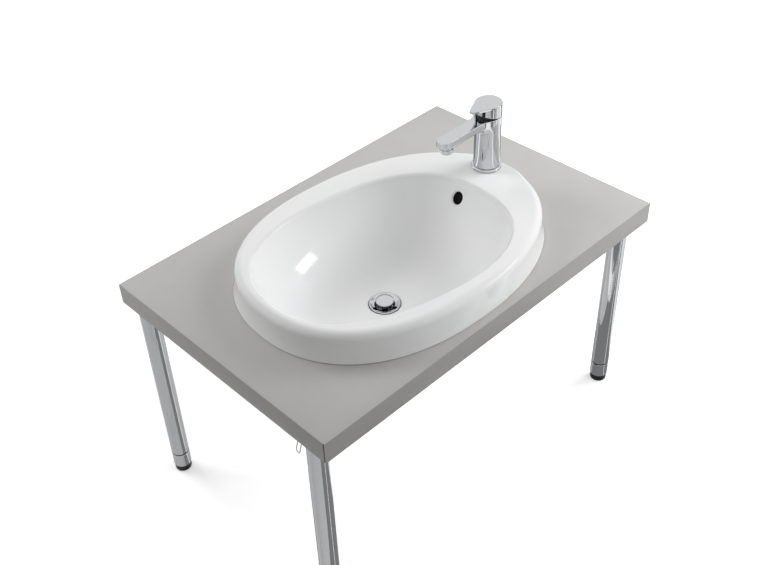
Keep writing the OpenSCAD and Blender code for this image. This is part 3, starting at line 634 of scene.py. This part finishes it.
def slab(name, low, high, round_by, finish, segments=3):
    """A rectangular piece with rounded edges."""
    box = bmesh.new()
    bmesh.ops.create_cube(box, size=1)
    size, middle = np.subtract(high, low), np.add(high, low) / 2
    for v in box.verts:
        v.co = Vector(np.array(v.co) * size + middle)
    bmesh.ops.bevel(
        box, geom=box.edges[:], offset=round_by, segments=segments, profile=0.5, affect="EDGES"
    )
    points = [v.co[:] for v in box.verts]
    faces = [[v.index for v in f.verts] for f in box.faces]
    box.free()
    made = piece(name, points, faces, finish)
    made.data.set_sharp_from_angle(angle=radians(40))
    return made


board = slab(
    "worktop_core",
    (-half_l + band_t + 0.05, -half_d + band_t + 0.05, board_low),
    (half_l - band_t - 0.05, half_d - band_t - 0.05, board_high),
    0.25,
    laminate,
    2,
)
rim = np.linspace(-pi, pi, 192, endpoint=False)
inside = outline(rim, 10)
cutter_low, cutter_high = 400.0, 470.0
rows = [at_height(inside, cutter_low), at_height(inside, cutter_high)]
rows.append(np.array([[*rim_middle, cutter_low], [*rim_middle, cutter_high]]))
middle = len(rim) * 2
faces = loop_faces(2, len(rim), False)
faces += [(j, middle, (j + 1) % len(rim)) for j in range(len(rim))]
faces += [
    (len(rim) + (j + 1) % len(rim), middle + 1, len(rim) + j) for j in range(len(rim))
]
cut(board, piece("cut_out", np.concatenate(rows), faces, laminate))
chipboard, tree = material("raw_chipboard")
# Sawn chipboard where the laminate stops: pale wood flakes 2 to 4 mm long in darker resin, rough,
# with the saw's tear-out standing up between them.
place = node(tree, "ShaderNodeTexCoord")
flakes = node(tree, "ShaderNodeTexVoronoi", {"Vector": place.outputs["Object"], "Scale": 330.0})
wood = mottled(tree, flakes.outputs["Distance"], ("#C2A77C", "#8A6F4B"), (0.15, 0.75))
torn = node(
    tree,
    "ShaderNodeBump",
    {"Height": flakes.outputs["Distance"], "Strength": 0.5, "Distance": 0.0004},
)
sawn = {"Base Color": wood, "Roughness": 0.85, "Normal": torn.outputs["Normal"]}
closed(tree, node(tree, "ShaderNodeBsdfPrincipled", sawn))
board.data.materials.append(chipboard)
for face in board.data.polygons:
    upright = abs(face.normal.z) < 0.5
    if upright and abs(face.center.x) < 390 * mm and abs(face.center.y) < 250 * mm:
        face.material_index = 1
board.data.set_sharp_from_angle(angle=radians(40))
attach(board, "base")
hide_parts("worktop_board")

abs_band_painted_shade, tree = material("grey_abs_edge_band_painted_shade")
# Extruded ABS band: satin, with the roller's faint cross grain 1.5 mm apart. Its grey, a shade
# darker than the laminate, is painted shade that darkens the worktop's sides against its lit top.
ribs = relief(tree, 600.0, 0.2, 0.0001, Detail=1.0)
extruded = {"Base Color": shade("#A3A2A0"), "Roughness": 0.4, "IOR": 1.5, "Normal": ribs}
closed(tree, node(tree, "ShaderNodeBsdfPrincipled", extruded))

front_y, back_y, joint, glued_joint = -half_d + band_t, half_d - band_t, 0.1, 2.0
bands = {
    "edge_band_front": ((-half_l, -half_d), (half_l, front_y)),
    "edge_band_back": ((-half_l, back_y), (half_l, half_d)),
    "edge_band_left": ((-half_l, front_y + glued_joint), (-half_l + band_t, back_y - joint)),
    "edge_band_right": ((half_l - band_t, front_y + joint), (half_l, back_y - joint)),
}
for name, (low, high) in bands.items():
    band = slab(name + "_abs", (*low, board_low), (*high, board_high), 0.45, abs_band_painted_shade)
    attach(band, "base")
    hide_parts(name)

# Hot-melt glue squeezed into the joint of the front and left bands
glue, tree = material("dark_hot_melt_glue")
# Hot-melt glue with dust in it: a dark brown-grey line, dull and slightly lumpy every 2 mm.
lumps = relief(tree, 500.0, 0.5, 0.0002)
dull = {"Base Color": shade("#1E1C1B"), "Roughness": 0.6, "Normal": lumps}
closed(tree, node(tree, "ShaderNodeBsdfPrincipled", dull))
seam = slab(
    "corner_glue_line",
    (-half_l + 0.15, front_y - 0.05, board_low + 0.5),
    (-half_l + band_t, front_y + glued_joint + 0.05, board_high - 0.1),
    0.2,
    glue,
)
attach(seam, "base")

# Silicone sealant pressed flat under the basin, its bead hollowed by the fitter's finger
silicone, tree = material("white_silicone_sealant")
# Cured silicone: slightly translucent white rubber with a low wet shine, finger-smoothed.
cured = {"Base Color": shade("#E2E2DF"), "Roughness": 0.42, "IOR": 1.41, "Subsurface Weight": 0.1}
closed(tree, node(tree, "ShaderNodeBsdfPrincipled", cured))
bead_rows = [(-3, 453), (-3.6, 453.1), (-3.2, 453.5), (-3.6, 453.95), (-3, 454), (7, 454), (7, 453)]
rings = [at_height(outline(rim, off), float(z)) for off, z in bead_rows]
bead = piece(
    "sealant_bead_silicone",
    np.concatenate(rings),
    [q[::-1] for q in loop_faces(len(rings), len(rim), True)],
    silicone,
)
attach(bead, "base")
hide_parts("sealant_bead")

# Tap.
# A single-lever basin mixer cast in brass and chromed: round body, a level spout that grows out
# of it, and a leaf-shaped lever that hinges on a black collar over the cartridge.
chrome, tree = material("polished_chrome_plate")
# Bright chrome over polished brass: a blue-grey mirror with wipe marks about 4 mm wide that
# dull it here and there by a trace.
place = node(tree, "ShaderNodeTexCoord")
wipes = node(
    tree,
    "ShaderNodeTexNoise",
    {"Vector": place.outputs["Object"], "Scale": 250.0, "Detail": 2.0, "Roughness": 0.5},
)
gloss = node(
    tree, "ShaderNodeMapRange", {"Value": wipes.outputs["Fac"], "To Min": 0.02, "To Max": 0.09}
)
plate = node(
    tree,
    "ShaderNodeBsdfPrincipled",
    {"Base Color": shade("#C9CBCD"), "Metallic": 1.0, "Roughness": gloss.outputs["Result"]},
)
closed(tree, plate)

black_plastic, tree = material("black_moulded_acetal")
# Injection-moulded acetal: near black, satin, with an eroded mould texture about 0.4 mm across.
eroded = relief(tree, 2500.0, 0.2, 0.0001, Detail=1.0)
moulded = {"Base Color": shade("#101011"), "Roughness": 0.38, "IOR": 1.48, "Normal": eroded}
closed(tree, node(tree, "ShaderNodeBsdfPrincipled", moulded))


def fillet_union(a, b, r):
    """Two distances joined, with a round of radius r in the corner between them."""
    return np.maximum(r, np.minimum(a, b)) - np.hypot(np.maximum(r - a, 0), np.maximum(r - b, 0))


def rounded(a, b, r):
    """What two distances have in common, its edge rounded by r."""
    return np.minimum(-r, np.maximum(a, b)) + np.hypot(np.maximum(r + a, 0), np.maximum(r + b, 0))


def skin(name, distance, low, high, step, place, finish):
    """A mesh of the surface where distance is 0: one point in each grid cell that it crosses,
    moved onto it along the distance's slope, and one face across each crossed grid edge."""
    axes = [np.arange(a, b + step, step) for a, b in zip(low, high)]
    grid = np.stack(np.meshgrid(*axes, indexing="ij"), -1)
    inside = distance(grid) < 0
    count = np.zeros([n - 1 for n in inside.shape], int)
    for corner in np.ndindex(2, 2, 2):
        count += inside[tuple(slice(c, c + n - 1) for c, n in zip(corner, inside.shape))]
    crossed = (count > 0) & (count < 8)
    index = np.full(crossed.shape, -1)
    index[crossed] = np.arange(crossed.sum())
    points = np.stack([axes[k][np.nonzero(crossed)[k]] for k in range(3)], -1) + step / 2

    def slope(p):
        h = 0.02
        steps = np.eye(3) * h
        return np.stack([distance(p + s) - distance(p - s) for s in steps], -1) / (2 * h)

    start = points.copy()
    for _ in range(6):
        g = slope(points)
        move = distance(points)[:, None] * g / np.maximum((g * g).sum(-1, keepdims=True), 0.05)
        points = np.clip(points - move, start - 0.62 * step, start + 0.62 * step)
    faces = []
    for axis in range(3):
        a, b = [k for k in range(3) if k != axis]
        sel = [slice(1, -1)] * 3
        sel[axis] = slice(None)
        low_side, high_side = list(sel), list(sel)
        low_side[axis], high_side[axis] = slice(0, -1), slice(1, None)
        here, there = inside[tuple(low_side)], inside[tuple(high_side)]
        at = np.argwhere(here != there)
        at[:, a] += 1
        at[:, b] += 1
        quad = []
        for da, db in ((0, 0), (1, 0), (1, 1), (0, 1)):
            cell = at.copy()
            cell[:, a] -= da
            cell[:, b] -= db
            quad.append(index[tuple(cell.T)])
        quad = np.stack(quad, -1)
        was_inside = here[tuple((at - np.eye(3, dtype=int)[a] - np.eye(3, dtype=int)[b]).T)]
        flip = was_inside if axis != 1 else ~was_inside
        quad[flip] = quad[flip][:, ::-1]
        faces.append(quad)
    faces = np.concatenate(faces)
    normals = slope(points)
    normals /= np.maximum(np.linalg.norm(normals, axis=-1, keepdims=True), 1e-9)
    made = piece(name, place(points), faces[:, ::-1].tolist(), finish)
    made.data.normals_split_custom_set_from_vertices((place(normals) - place(normals * 0)).tolist())
    return made


def at_tap(p):
    """From the tap's own axes, X along the spout and Z up from the rim, to the object's."""
    return np.asarray(p) * [-1, -1, 1] + [tap_x, tap_y, rim_z]


spout_top, tip_r, tip_s, body_r, body_low = 107.0, 13.8, 114.2, 24.0, 6.5
spout_z = spout_top - 18
aerator_s = tip_s - 6
root_round, keel_round, top_round, foot_round = 13, 8, 0.7, 0.5
neck_step, neck_z, neck_half = 1, 6.2, 0.7
well_r, well_floor, well_round = 19, 97, 0.4
outlet_r, outlet_d = 10, 11


def body_distance(p):
    """The tap's body and spout, in millimetres from the tap's axis and the rim."""
    x, y, z = p[..., 0], p[..., 1], p[..., 2]
    shaft = np.hypot(x, y) - body_r
    plan = np.hypot(np.maximum(x - tip_s, 0), y) - tip_r
    spout = np.maximum(rounded(plan, spout_z - z, keel_round), -x)
    shape = fillet_union(shaft, spout, root_round)
    shape = rounded(shape, z - spout_top, top_round)
    shape = rounded(shape, body_low - z, foot_round)
    neck = np.maximum(shaft + neck_step, np.abs(z - neck_z) - neck_half)
    shape = np.minimum(shape, neck)
    well = np.maximum(np.hypot(x, y) - well_r, well_floor - z)
    shape = rounded(shape, -well, well_round)
    outlet = np.maximum(np.hypot(x - aerator_s, y) - outlet_r, z - spout_z - outlet_d)
    return np.maximum(shape, -outlet)


body = skin(
    "tap_body_casting", body_distance, (-26, -26, 4), (130, 26, 109), 0.75, at_tap, chrome
)
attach(body, "base")
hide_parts("tap_body", "tap_spout")

# Lever: a cast cap that opens into a leaf-shaped tongue, slotted each side of its front web
lever_r, lever_tip_r, lever_tip_s, lever_top, plate_low = 24.3, 7.5, 39.0, 132.5, 127.5
plate_z, plate_half = (lever_top + plate_low) / 2, (lever_top - plate_low) / 2
skirt_z, skirt_front_slope, skirt_back_slope = 108, 0.15, 0.19
hollow_r, slot_y, slot_half = 21.3, 8.3, 2.7


def lever_distance(p):
    """The lever's plate, cap, hub and ears, in millimetres from the tap's axis and the rim."""
    x, y, z = p[..., 0], p[..., 1], p[..., 2]
    b = (lever_r - lever_tip_r) / lever_tip_s
    a = (1 - b * b) ** 0.5
    side = np.abs(y)
    k = -b * side + a * x
    leaf = np.where(
        k < 0,
        np.hypot(x, side) - lever_r,
        np.where(
            k > a * lever_tip_s,
            np.hypot(x - lever_tip_s, side) - lever_tip_r,
            a * side + b * x - lever_r,
        ),
    )
    tongue = rounded(leaf, np.abs(z - plate_z) - plate_half, 1.2)
    ahead, behind = x - 2, -17 - x
    front = skirt_front_slope * (ahead + np.sqrt(ahead**2 + 6))
    lower = 0.92 * (skirt_z + front + skirt_back_slope * np.maximum(behind, 0) - z)
    cap = rounded(np.hypot(x, y) - lever_r, z - lever_top, 1.3)
    cap = rounded(cap, lower, 0.5)
    hollow = np.maximum(np.hypot(x, y) - hollow_r, z - plate_low)
    cap = rounded(cap, -hollow, 0.5)
    slot = np.maximum(np.maximum(np.abs(side - slot_y) - slot_half, -x), z - plate_low)
    cap = rounded(cap, -slot, 0.4)
    hub = np.maximum(np.maximum(np.abs(x - 1.5) - 7.5, side - 7.5), 110 - z)
    ears = np.maximum(np.maximum(np.abs(x + 18.1) - 2.7, np.abs(side - 10.4) - 2), 108.2 - z)
    pocket = np.maximum(np.maximum(side - 4.4, -4.8 - x), z - 120.4)
    inner = np.maximum(np.minimum(np.maximum(hub, -pocket), ears), z - 128)
    return np.minimum(np.minimum(tongue, cap), np.maximum(inner, np.hypot(x, y) - 23.3))


lever = skin("lever_casting", lever_distance, (-26, -26, 106), (48, 26, 134), 0.55, at_tap, chrome)
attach(lever, "lever")
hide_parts("lever")


base_ring = turned(
    "tap_base_ring_turned",
    [(15, 1), (26.6, 1), (27, 1.4)] + rounds(25, 3.5, 2, 0, 90) + [(15, 5.5), (15, 1)],
    chrome,
    (tap_x, tap_y, rim_z),
    128,
)
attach(base_ring, "base")
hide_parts("tap_base_ring")

aerator = turned(
    "aerator_housing_turned",
    [(8.5, -9), (10.6, -9), (11, -8.6), (11, -5.4), (11.4, -5), (11.7, -5), (12, -4.7)]
    + [(12, -0.3), (11.7, 0), (10, 0), (10, 5), (8.5, 5), (8.5, -9)],
    chrome,
    at_tap((aerator_s, 0, spout_z)),
)
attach(aerator, "base")
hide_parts("aerator_housing")

# Waste.
# A push waste in chromed brass: a dished flange on a threaded tail, and a plug whose domed cap
# stands clear of the throat while the waste is open.
flange_z, throat_r, flange_r, thread_r, tail_z = 374.5, 17.8, 28.0, 20.95, 291.0
trap_thread, thread_pitch, core_r = 35.0, 2.3, thread_r - 0.6
waste = turned(
    "waste_turned",
    [(throat_r, tail_z), (core_r - 0.6, tail_z), (core_r, tail_z + 0.6)]
    + [(core_r, tail_z + trap_thread), (core_r - 0.4, tail_z + trap_thread + 0.2)]
    + [(core_r - 0.4, tail_z + trap_thread + 1.3), (core_r, tail_z + trap_thread + 1.5)]
    + [(core_r, 345), (thread_r, 345.6), (thread_r, flange_z)]
    + [(flange_r - 0.8, flange_z), (flange_r, flange_z + 0.7)]
    + rounds(flange_r - 1.2, flange_z + 1.3, 1.2, 0, 90)
    + [(flange_r - 2.2, flange_z + 2.45), (flange_r - 2.8, flange_z + 2.1)]
    + [(flange_r - 6, flange_z + 1.0), (throat_r + 2.6, flange_z + 0.45)]
    + rounds(throat_r + 1.2, flange_z - 0.8, 1.2, 90, 180)
    + [(throat_r, tail_z)],
    chrome,
    (bowl_x, bowl_y, 0),
    128,
)
# Threading: a ridge wound on a helix round the piece
threading, given = geometry_tree(
    "threading",
    {
        "Geometry": "Geometry",
        "Radius": "Float",
        "Pitch": "Float",
        "Length": "Float",
        "Foot": "Vector",
        "Finish": "Material",
    },
)
turns = node(
    threading, "ShaderNodeMath", {0: given["Length"], 1: given["Pitch"]}, operation="DIVIDE"
)
depth = node(threading, "ShaderNodeMath", {0: given["Pitch"], 1: 0.5}, operation="MULTIPLY")
helix = node(
    threading,
    "GeometryNodeCurveSpiral",
    {
        "Resolution": 40,
        "Rotations": turns.outputs[0],
        "Start Radius": given["Radius"],
        "End Radius": given["Radius"],
        "Height": given["Length"],
    },
)
ridge = node(
    threading, "GeometryNodeCurvePrimitiveCircle", {"Resolution": 3, "Radius": depth.outputs[0]}
)
wound = node(
    threading,
    "GeometryNodeCurveToMesh",
    {"Curve": helix.outputs[0], "Profile Curve": ridge.outputs[0], "Fill Caps": True},
)
raised = node(
    threading,
    "GeometryNodeTransform",
    {"Geometry": wound.outputs[0], "Translation": given["Foot"]},
)
joined = node(threading, "GeometryNodeJoinGeometry", {"Geometry": given["Geometry"]})
threading.links.new(raised.outputs[0], joined.inputs["Geometry"])
finished(threading, joined.outputs[0], given)


def threaded(made, spot, low, length, radius, pitch, finish):
    """Winds a thread's ridge on a piece, from the height low up."""
    foot = np.multiply((*spot, low), mm).tolist()
    sizes = {"Radius": (radius - pitch / 2) * mm, "Pitch": pitch * mm, "Length": length * mm}
    return grow(made, threading, Foot=foot, Finish=finish, **sizes)


for low, length in ((tail_z + 1.3, trap_thread - 2.6), (328.0, 16.0)):
    threaded(waste, (bowl_x, bowl_y), low, length, thread_r, thread_pitch, chrome)
# Spoking: bars set round a ring, here the crossbar that carries the plug's guide
spoking, given = geometry_tree(
    "spoking",
    {
        "Geometry": "Geometry",
        "Count": "Int",
        "Reach": "Float",
        "Size": "Vector",
        "Centre": "Vector",
        "Finish": "Material",
    },
)
spots = node(
    spoking, "GeometryNodeMeshCircle", {"Vertices": given["Count"], "Radius": given["Reach"]}
)
position = node(spoking, "GeometryNodeInputPosition")
way = node(
    spoking, "FunctionNodeAlignRotationToVector", {"Vector": position.outputs[0]}, axis="X"
)
bar = node(spoking, "GeometryNodeMeshCube", {"Size": given["Size"]})
bars = node(
    spoking,
    "GeometryNodeInstanceOnPoints",
    {"Points": spots.outputs[0], "Instance": bar.outputs[0], "Rotation": way.outputs[0]},
)
placed = node(
    spoking,
    "GeometryNodeTransform",
    {"Geometry": bars.outputs[0], "Translation": given["Centre"]},
)
joined = node(spoking, "GeometryNodeJoinGeometry", {"Geometry": given["Geometry"]})
spoking.links.new(placed.outputs[0], joined.inputs["Geometry"])
finished(spoking, joined.outputs[0], given)
grow(
    waste,
    spoking,
    Count=3,
    Reach=11.5 * mm,
    Size=[13.5 * mm, 3 * mm, 6 * mm],
    Centre=[bowl_x * mm, bowl_y * mm, 355 * mm],
    Finish=chrome,
)
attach(waste, "base")
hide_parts("waste_body")

cap_z, cap_r, cap_hub_r, spindle_r, spindle_low = 381.0, 16.2, 11, 2.5, 340
cap = turned(
    "plug_cap_turned",
    [(0, spindle_low), (spindle_r, spindle_low), (spindle_r, cap_z - 3), (cap_hub_r, cap_z - 3)]
    + [(cap_hub_r, cap_z), (cap_r - 0.8, cap_z), (cap_r - 0.1, cap_z + 0.5)]
    + rounds(cap_r - 1.2, cap_z + 1.9, 1.2, 0, 70)
    + [(12, cap_z + 3.25), (6, cap_z + 3.45), (0, cap_z + 3.5)],
    chrome,
    (bowl_x, bowl_y, 0),
    128,
)
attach(cap, "plug")
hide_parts("plug_cap")

# Legs.
# Chromed steel tubes under a screwed plate. A black ring closes each tube, and a chrome sleeve
# with a black plastic foot winds in and out of it to level the worktop.
leg_r, leg_bore_r, tube_low, tube_high = 17.0, 15.5, 49.0, 409.0
ring_r, ring_low = 16.8, 46.0
pad_h, pad_r, spigot_r, spigot_top = 15.0, 16.0, 8.0, 27.0
sleeve_top, stem_r, stem_top, stem_thread_low = 45.7, 6.0, 106.0, 47.0
legs = {1: (-379.0, -217.1), 2: (379.0, -217.1), 3: (379.0, 217.1), 4: (-379.0, 217.1)}
for i, spot in legs.items():
    parts = {
        "leg_tube": (
            [(leg_bore_r, tube_low), (leg_r - 0.4, tube_low), (leg_r, tube_low + 0.5)]
            + [(leg_r, tube_high), (leg_bore_r, tube_high), (leg_bore_r, tube_low)],
            chrome,
            "base",
            "chrome",
        ),
        "leg_ring": (
            [(leg_bore_r, ring_low), (ring_r - 0.3, ring_low), (ring_r, ring_low + 0.3)]
            + [(ring_r, tube_low - 0.3), (ring_r - 0.3, tube_low)]
            + [(leg_bore_r, tube_low), (leg_bore_r, ring_low)],
            black_plastic,
            "base",
            "black_plastic",
        ),
        "foot_sleeve": (
            [(0, spigot_top), (spigot_r, spigot_top), (spigot_r, pad_h), (leg_r - 0.4, pad_h)]
            + [(leg_r, pad_h + 0.4), (leg_r, sleeve_top - 0.5), (leg_r - 0.4, sleeve_top)]
            + [(stem_r, sleeve_top), (stem_r, stem_top), (0, stem_top)],
            chrome,
            f"foot_{i}",
            "chrome",
        ),
        "foot_pad": (
            [(0, 0), (pad_r - 3, 0)]
            + rounds(pad_r - 3, 3, 3, -90, 0)
            + [(pad_r, pad_h - 0.4), (pad_r - 0.4, pad_h), (spigot_r, pad_h)]
            + [(spigot_r, spigot_top), (0, spigot_top)],
            black_plastic,
            f"foot_{i}",
            "black_plastic",
        ),
    }
    for name, (profile, finish, body_name, slot_name) in parts.items():
        made = turned(f"{name}_turned_{i}", profile, finish, (*spot, 0))
        if name == "foot_sleeve":
            length = stem_top - stem_thread_low - 2
            threaded(made, spot, stem_thread_low, length, stem_r, 1.5, chrome)
        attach(made, body_name)
        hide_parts(f"{name}_{i}")

# Wire hook.
# A loop of 2 mm wire under the worktop's left end, bent from one length with both ends in the core.
hook_spot, hook_drop, bend_r, lean = (-392.0, -196.5, 413.0), 38.0, 4.0, radians(15)
bend = np.radians(np.linspace(180, 360, 25))
loop = [(-bend_r, -0.4), (-bend_r, -hook_drop / 2)]
loop += [(bend_r * cos(a), bend_r * sin(a) - hook_drop) for a in bend]
loop += [(bend_r, -hook_drop / 2), (bend_r, -0.4)]
loop = [(0, w * cos(lean) - z * sin(lean), w * sin(lean) + z * cos(lean)) for w, z in loop]

# Wiring: a round wire drawn along a path
wiring, given = geometry_tree(
    "wiring", {"Geometry": "Geometry", "Radius": "Float", "Finish": "Material"}
)
path = node(wiring, "GeometryNodeMeshToCurve", {"Mesh": given["Geometry"]})
section = node(
    wiring, "GeometryNodeCurvePrimitiveCircle", {"Resolution": 20, "Radius": given["Radius"]}
)
drawn = node(
    wiring,
    "GeometryNodeCurveToMesh",
    {"Curve": path.outputs[0], "Profile Curve": section.outputs[0], "Fill Caps": True},
)
finished(wiring, drawn.outputs[0], given)


def wire(name, points, radius, finish, ring=False):
    """A round wire along points in millimetres, its ends joined if it is a ring."""
    line = bpy.data.meshes.new(name)
    edges = [(i, (i + 1) % len(points)) for i in range(len(points) - (not ring))]
    line.from_pydata(np.asarray(points, float) * mm, edges, [])
    made = bpy.data.objects.new(name, line)
    bpy.context.scene.collection.objects.link(made)
    grow(made, wiring, Radius=radius * mm, Finish=finish)
    face_outwards(made)
    made.data.shade_smooth()
    made.data.set_sharp_from_angle(angle=radians(50))
    return made


hook = wire("wire_hook_bent", np.add(loop, hook_spot), 1.0, chrome)
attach(hook, "base")
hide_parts("wire_hook")

# The bead's outer edge, squeezed out and left round
squeezed = wire("sealant_edge", at_height(outline(rim, -3.0), 453.5), 0.46, silicone, True)
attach(squeezed, "base")

# Carried-over CAD nodes.
# The pieces hidden under the tap, in the waste and in the legs keep their CAD shape.


def grained(name, colours, scale, roughness, bump, metallic=0.0):
    """A material with a cloudy colour and a fine relief, both from one noise."""
    made, tree = material(name)
    place = node(tree, "ShaderNodeTexCoord")
    grain = node(
        tree,
        "ShaderNodeTexNoise",
        {"Vector": place.outputs["Object"], "Scale": scale, "Detail": 3.0, "Roughness": 0.55},
    )
    gloss = node(
        tree,
        "ShaderNodeMapRange",
        {"Value": grain.outputs["Fac"], "To Min": roughness[0], "To Max": roughness[1]},
    )
    rise = node(
        tree,
        "ShaderNodeBump",
        {"Height": grain.outputs["Fac"], "Strength": bump, "Distance": 0.0002},
    )
    inputs = {
        "Base Color": mottled(tree, grain.outputs["Fac"], colours),
        "Metallic": metallic,
        "Roughness": gloss.outputs["Result"],
        "Normal": rise.outputs["Normal"],
    }
    if not metallic:
        inputs["IOR"] = 1.5
    closed(tree, node(tree, "ShaderNodeBsdfPrincipled", inputs))
    return made


finishes = {
    "chrome": chrome,
    "black_plastic": black_plastic,
    "sealant": silicone,
    # Moulded EPDM: black rubber with a grey bloom in patches 6 mm wide, quite matt
    "rubber": grained("moulded_epdm_rubber", ("#1B1B1B", "#262626"), 160, (0.6, 0.78), 0.2),
    # Polypropylene: mid-grey, waxy, with the flow marks of its mould 5 mm apart
    "grey_plastic": grained("grey_polypropylene", ("#74777A", "#7E8184"), 200, (0.38, 0.5), 0.15),
    # Machined brass: yellow, turned to a fine shine, with tarnish in patches 4 mm wide
    "brass": grained("machined_brass", ("#AE9763", "#C6B07C"), 250, (0.22, 0.36), 0.1, 1.0),
    # Zinc-plated steel: blue-white and spangled, its grains about 3 mm wide
    "steel": grained("zinc_plated_steel", ("#A9ADB1", "#C2C5C8"), 330, (0.25, 0.4), 0.1, 1.0),
}
# Brass that stands in waste water: browned, dull, in patches 4 mm wide, and darkened nearly to
# black as painted shade for the dark throat it sits in
browned_and_shaded_brass = grained("water_browned_brass_painted_shade", ("#1E1A12", "#2B2417"), 250, (0.4, 0.6), 0.1, 1.0)
for sub in frame["record"]["subparts"]:
    shown_node = frame["nodes"][sub["node"]]
    if not shown_node.hide_render and sub["material_slot"] in finishes:
        for slot in shown_node.material_slots:
            slot.material = finishes[sub["material_slot"]]
            # The plug's guide, deep in the throat, takes the browned brass with its painted shade
            if sub["node"] == "plug_guide":
                slot.material = browned_and_shaded_brass
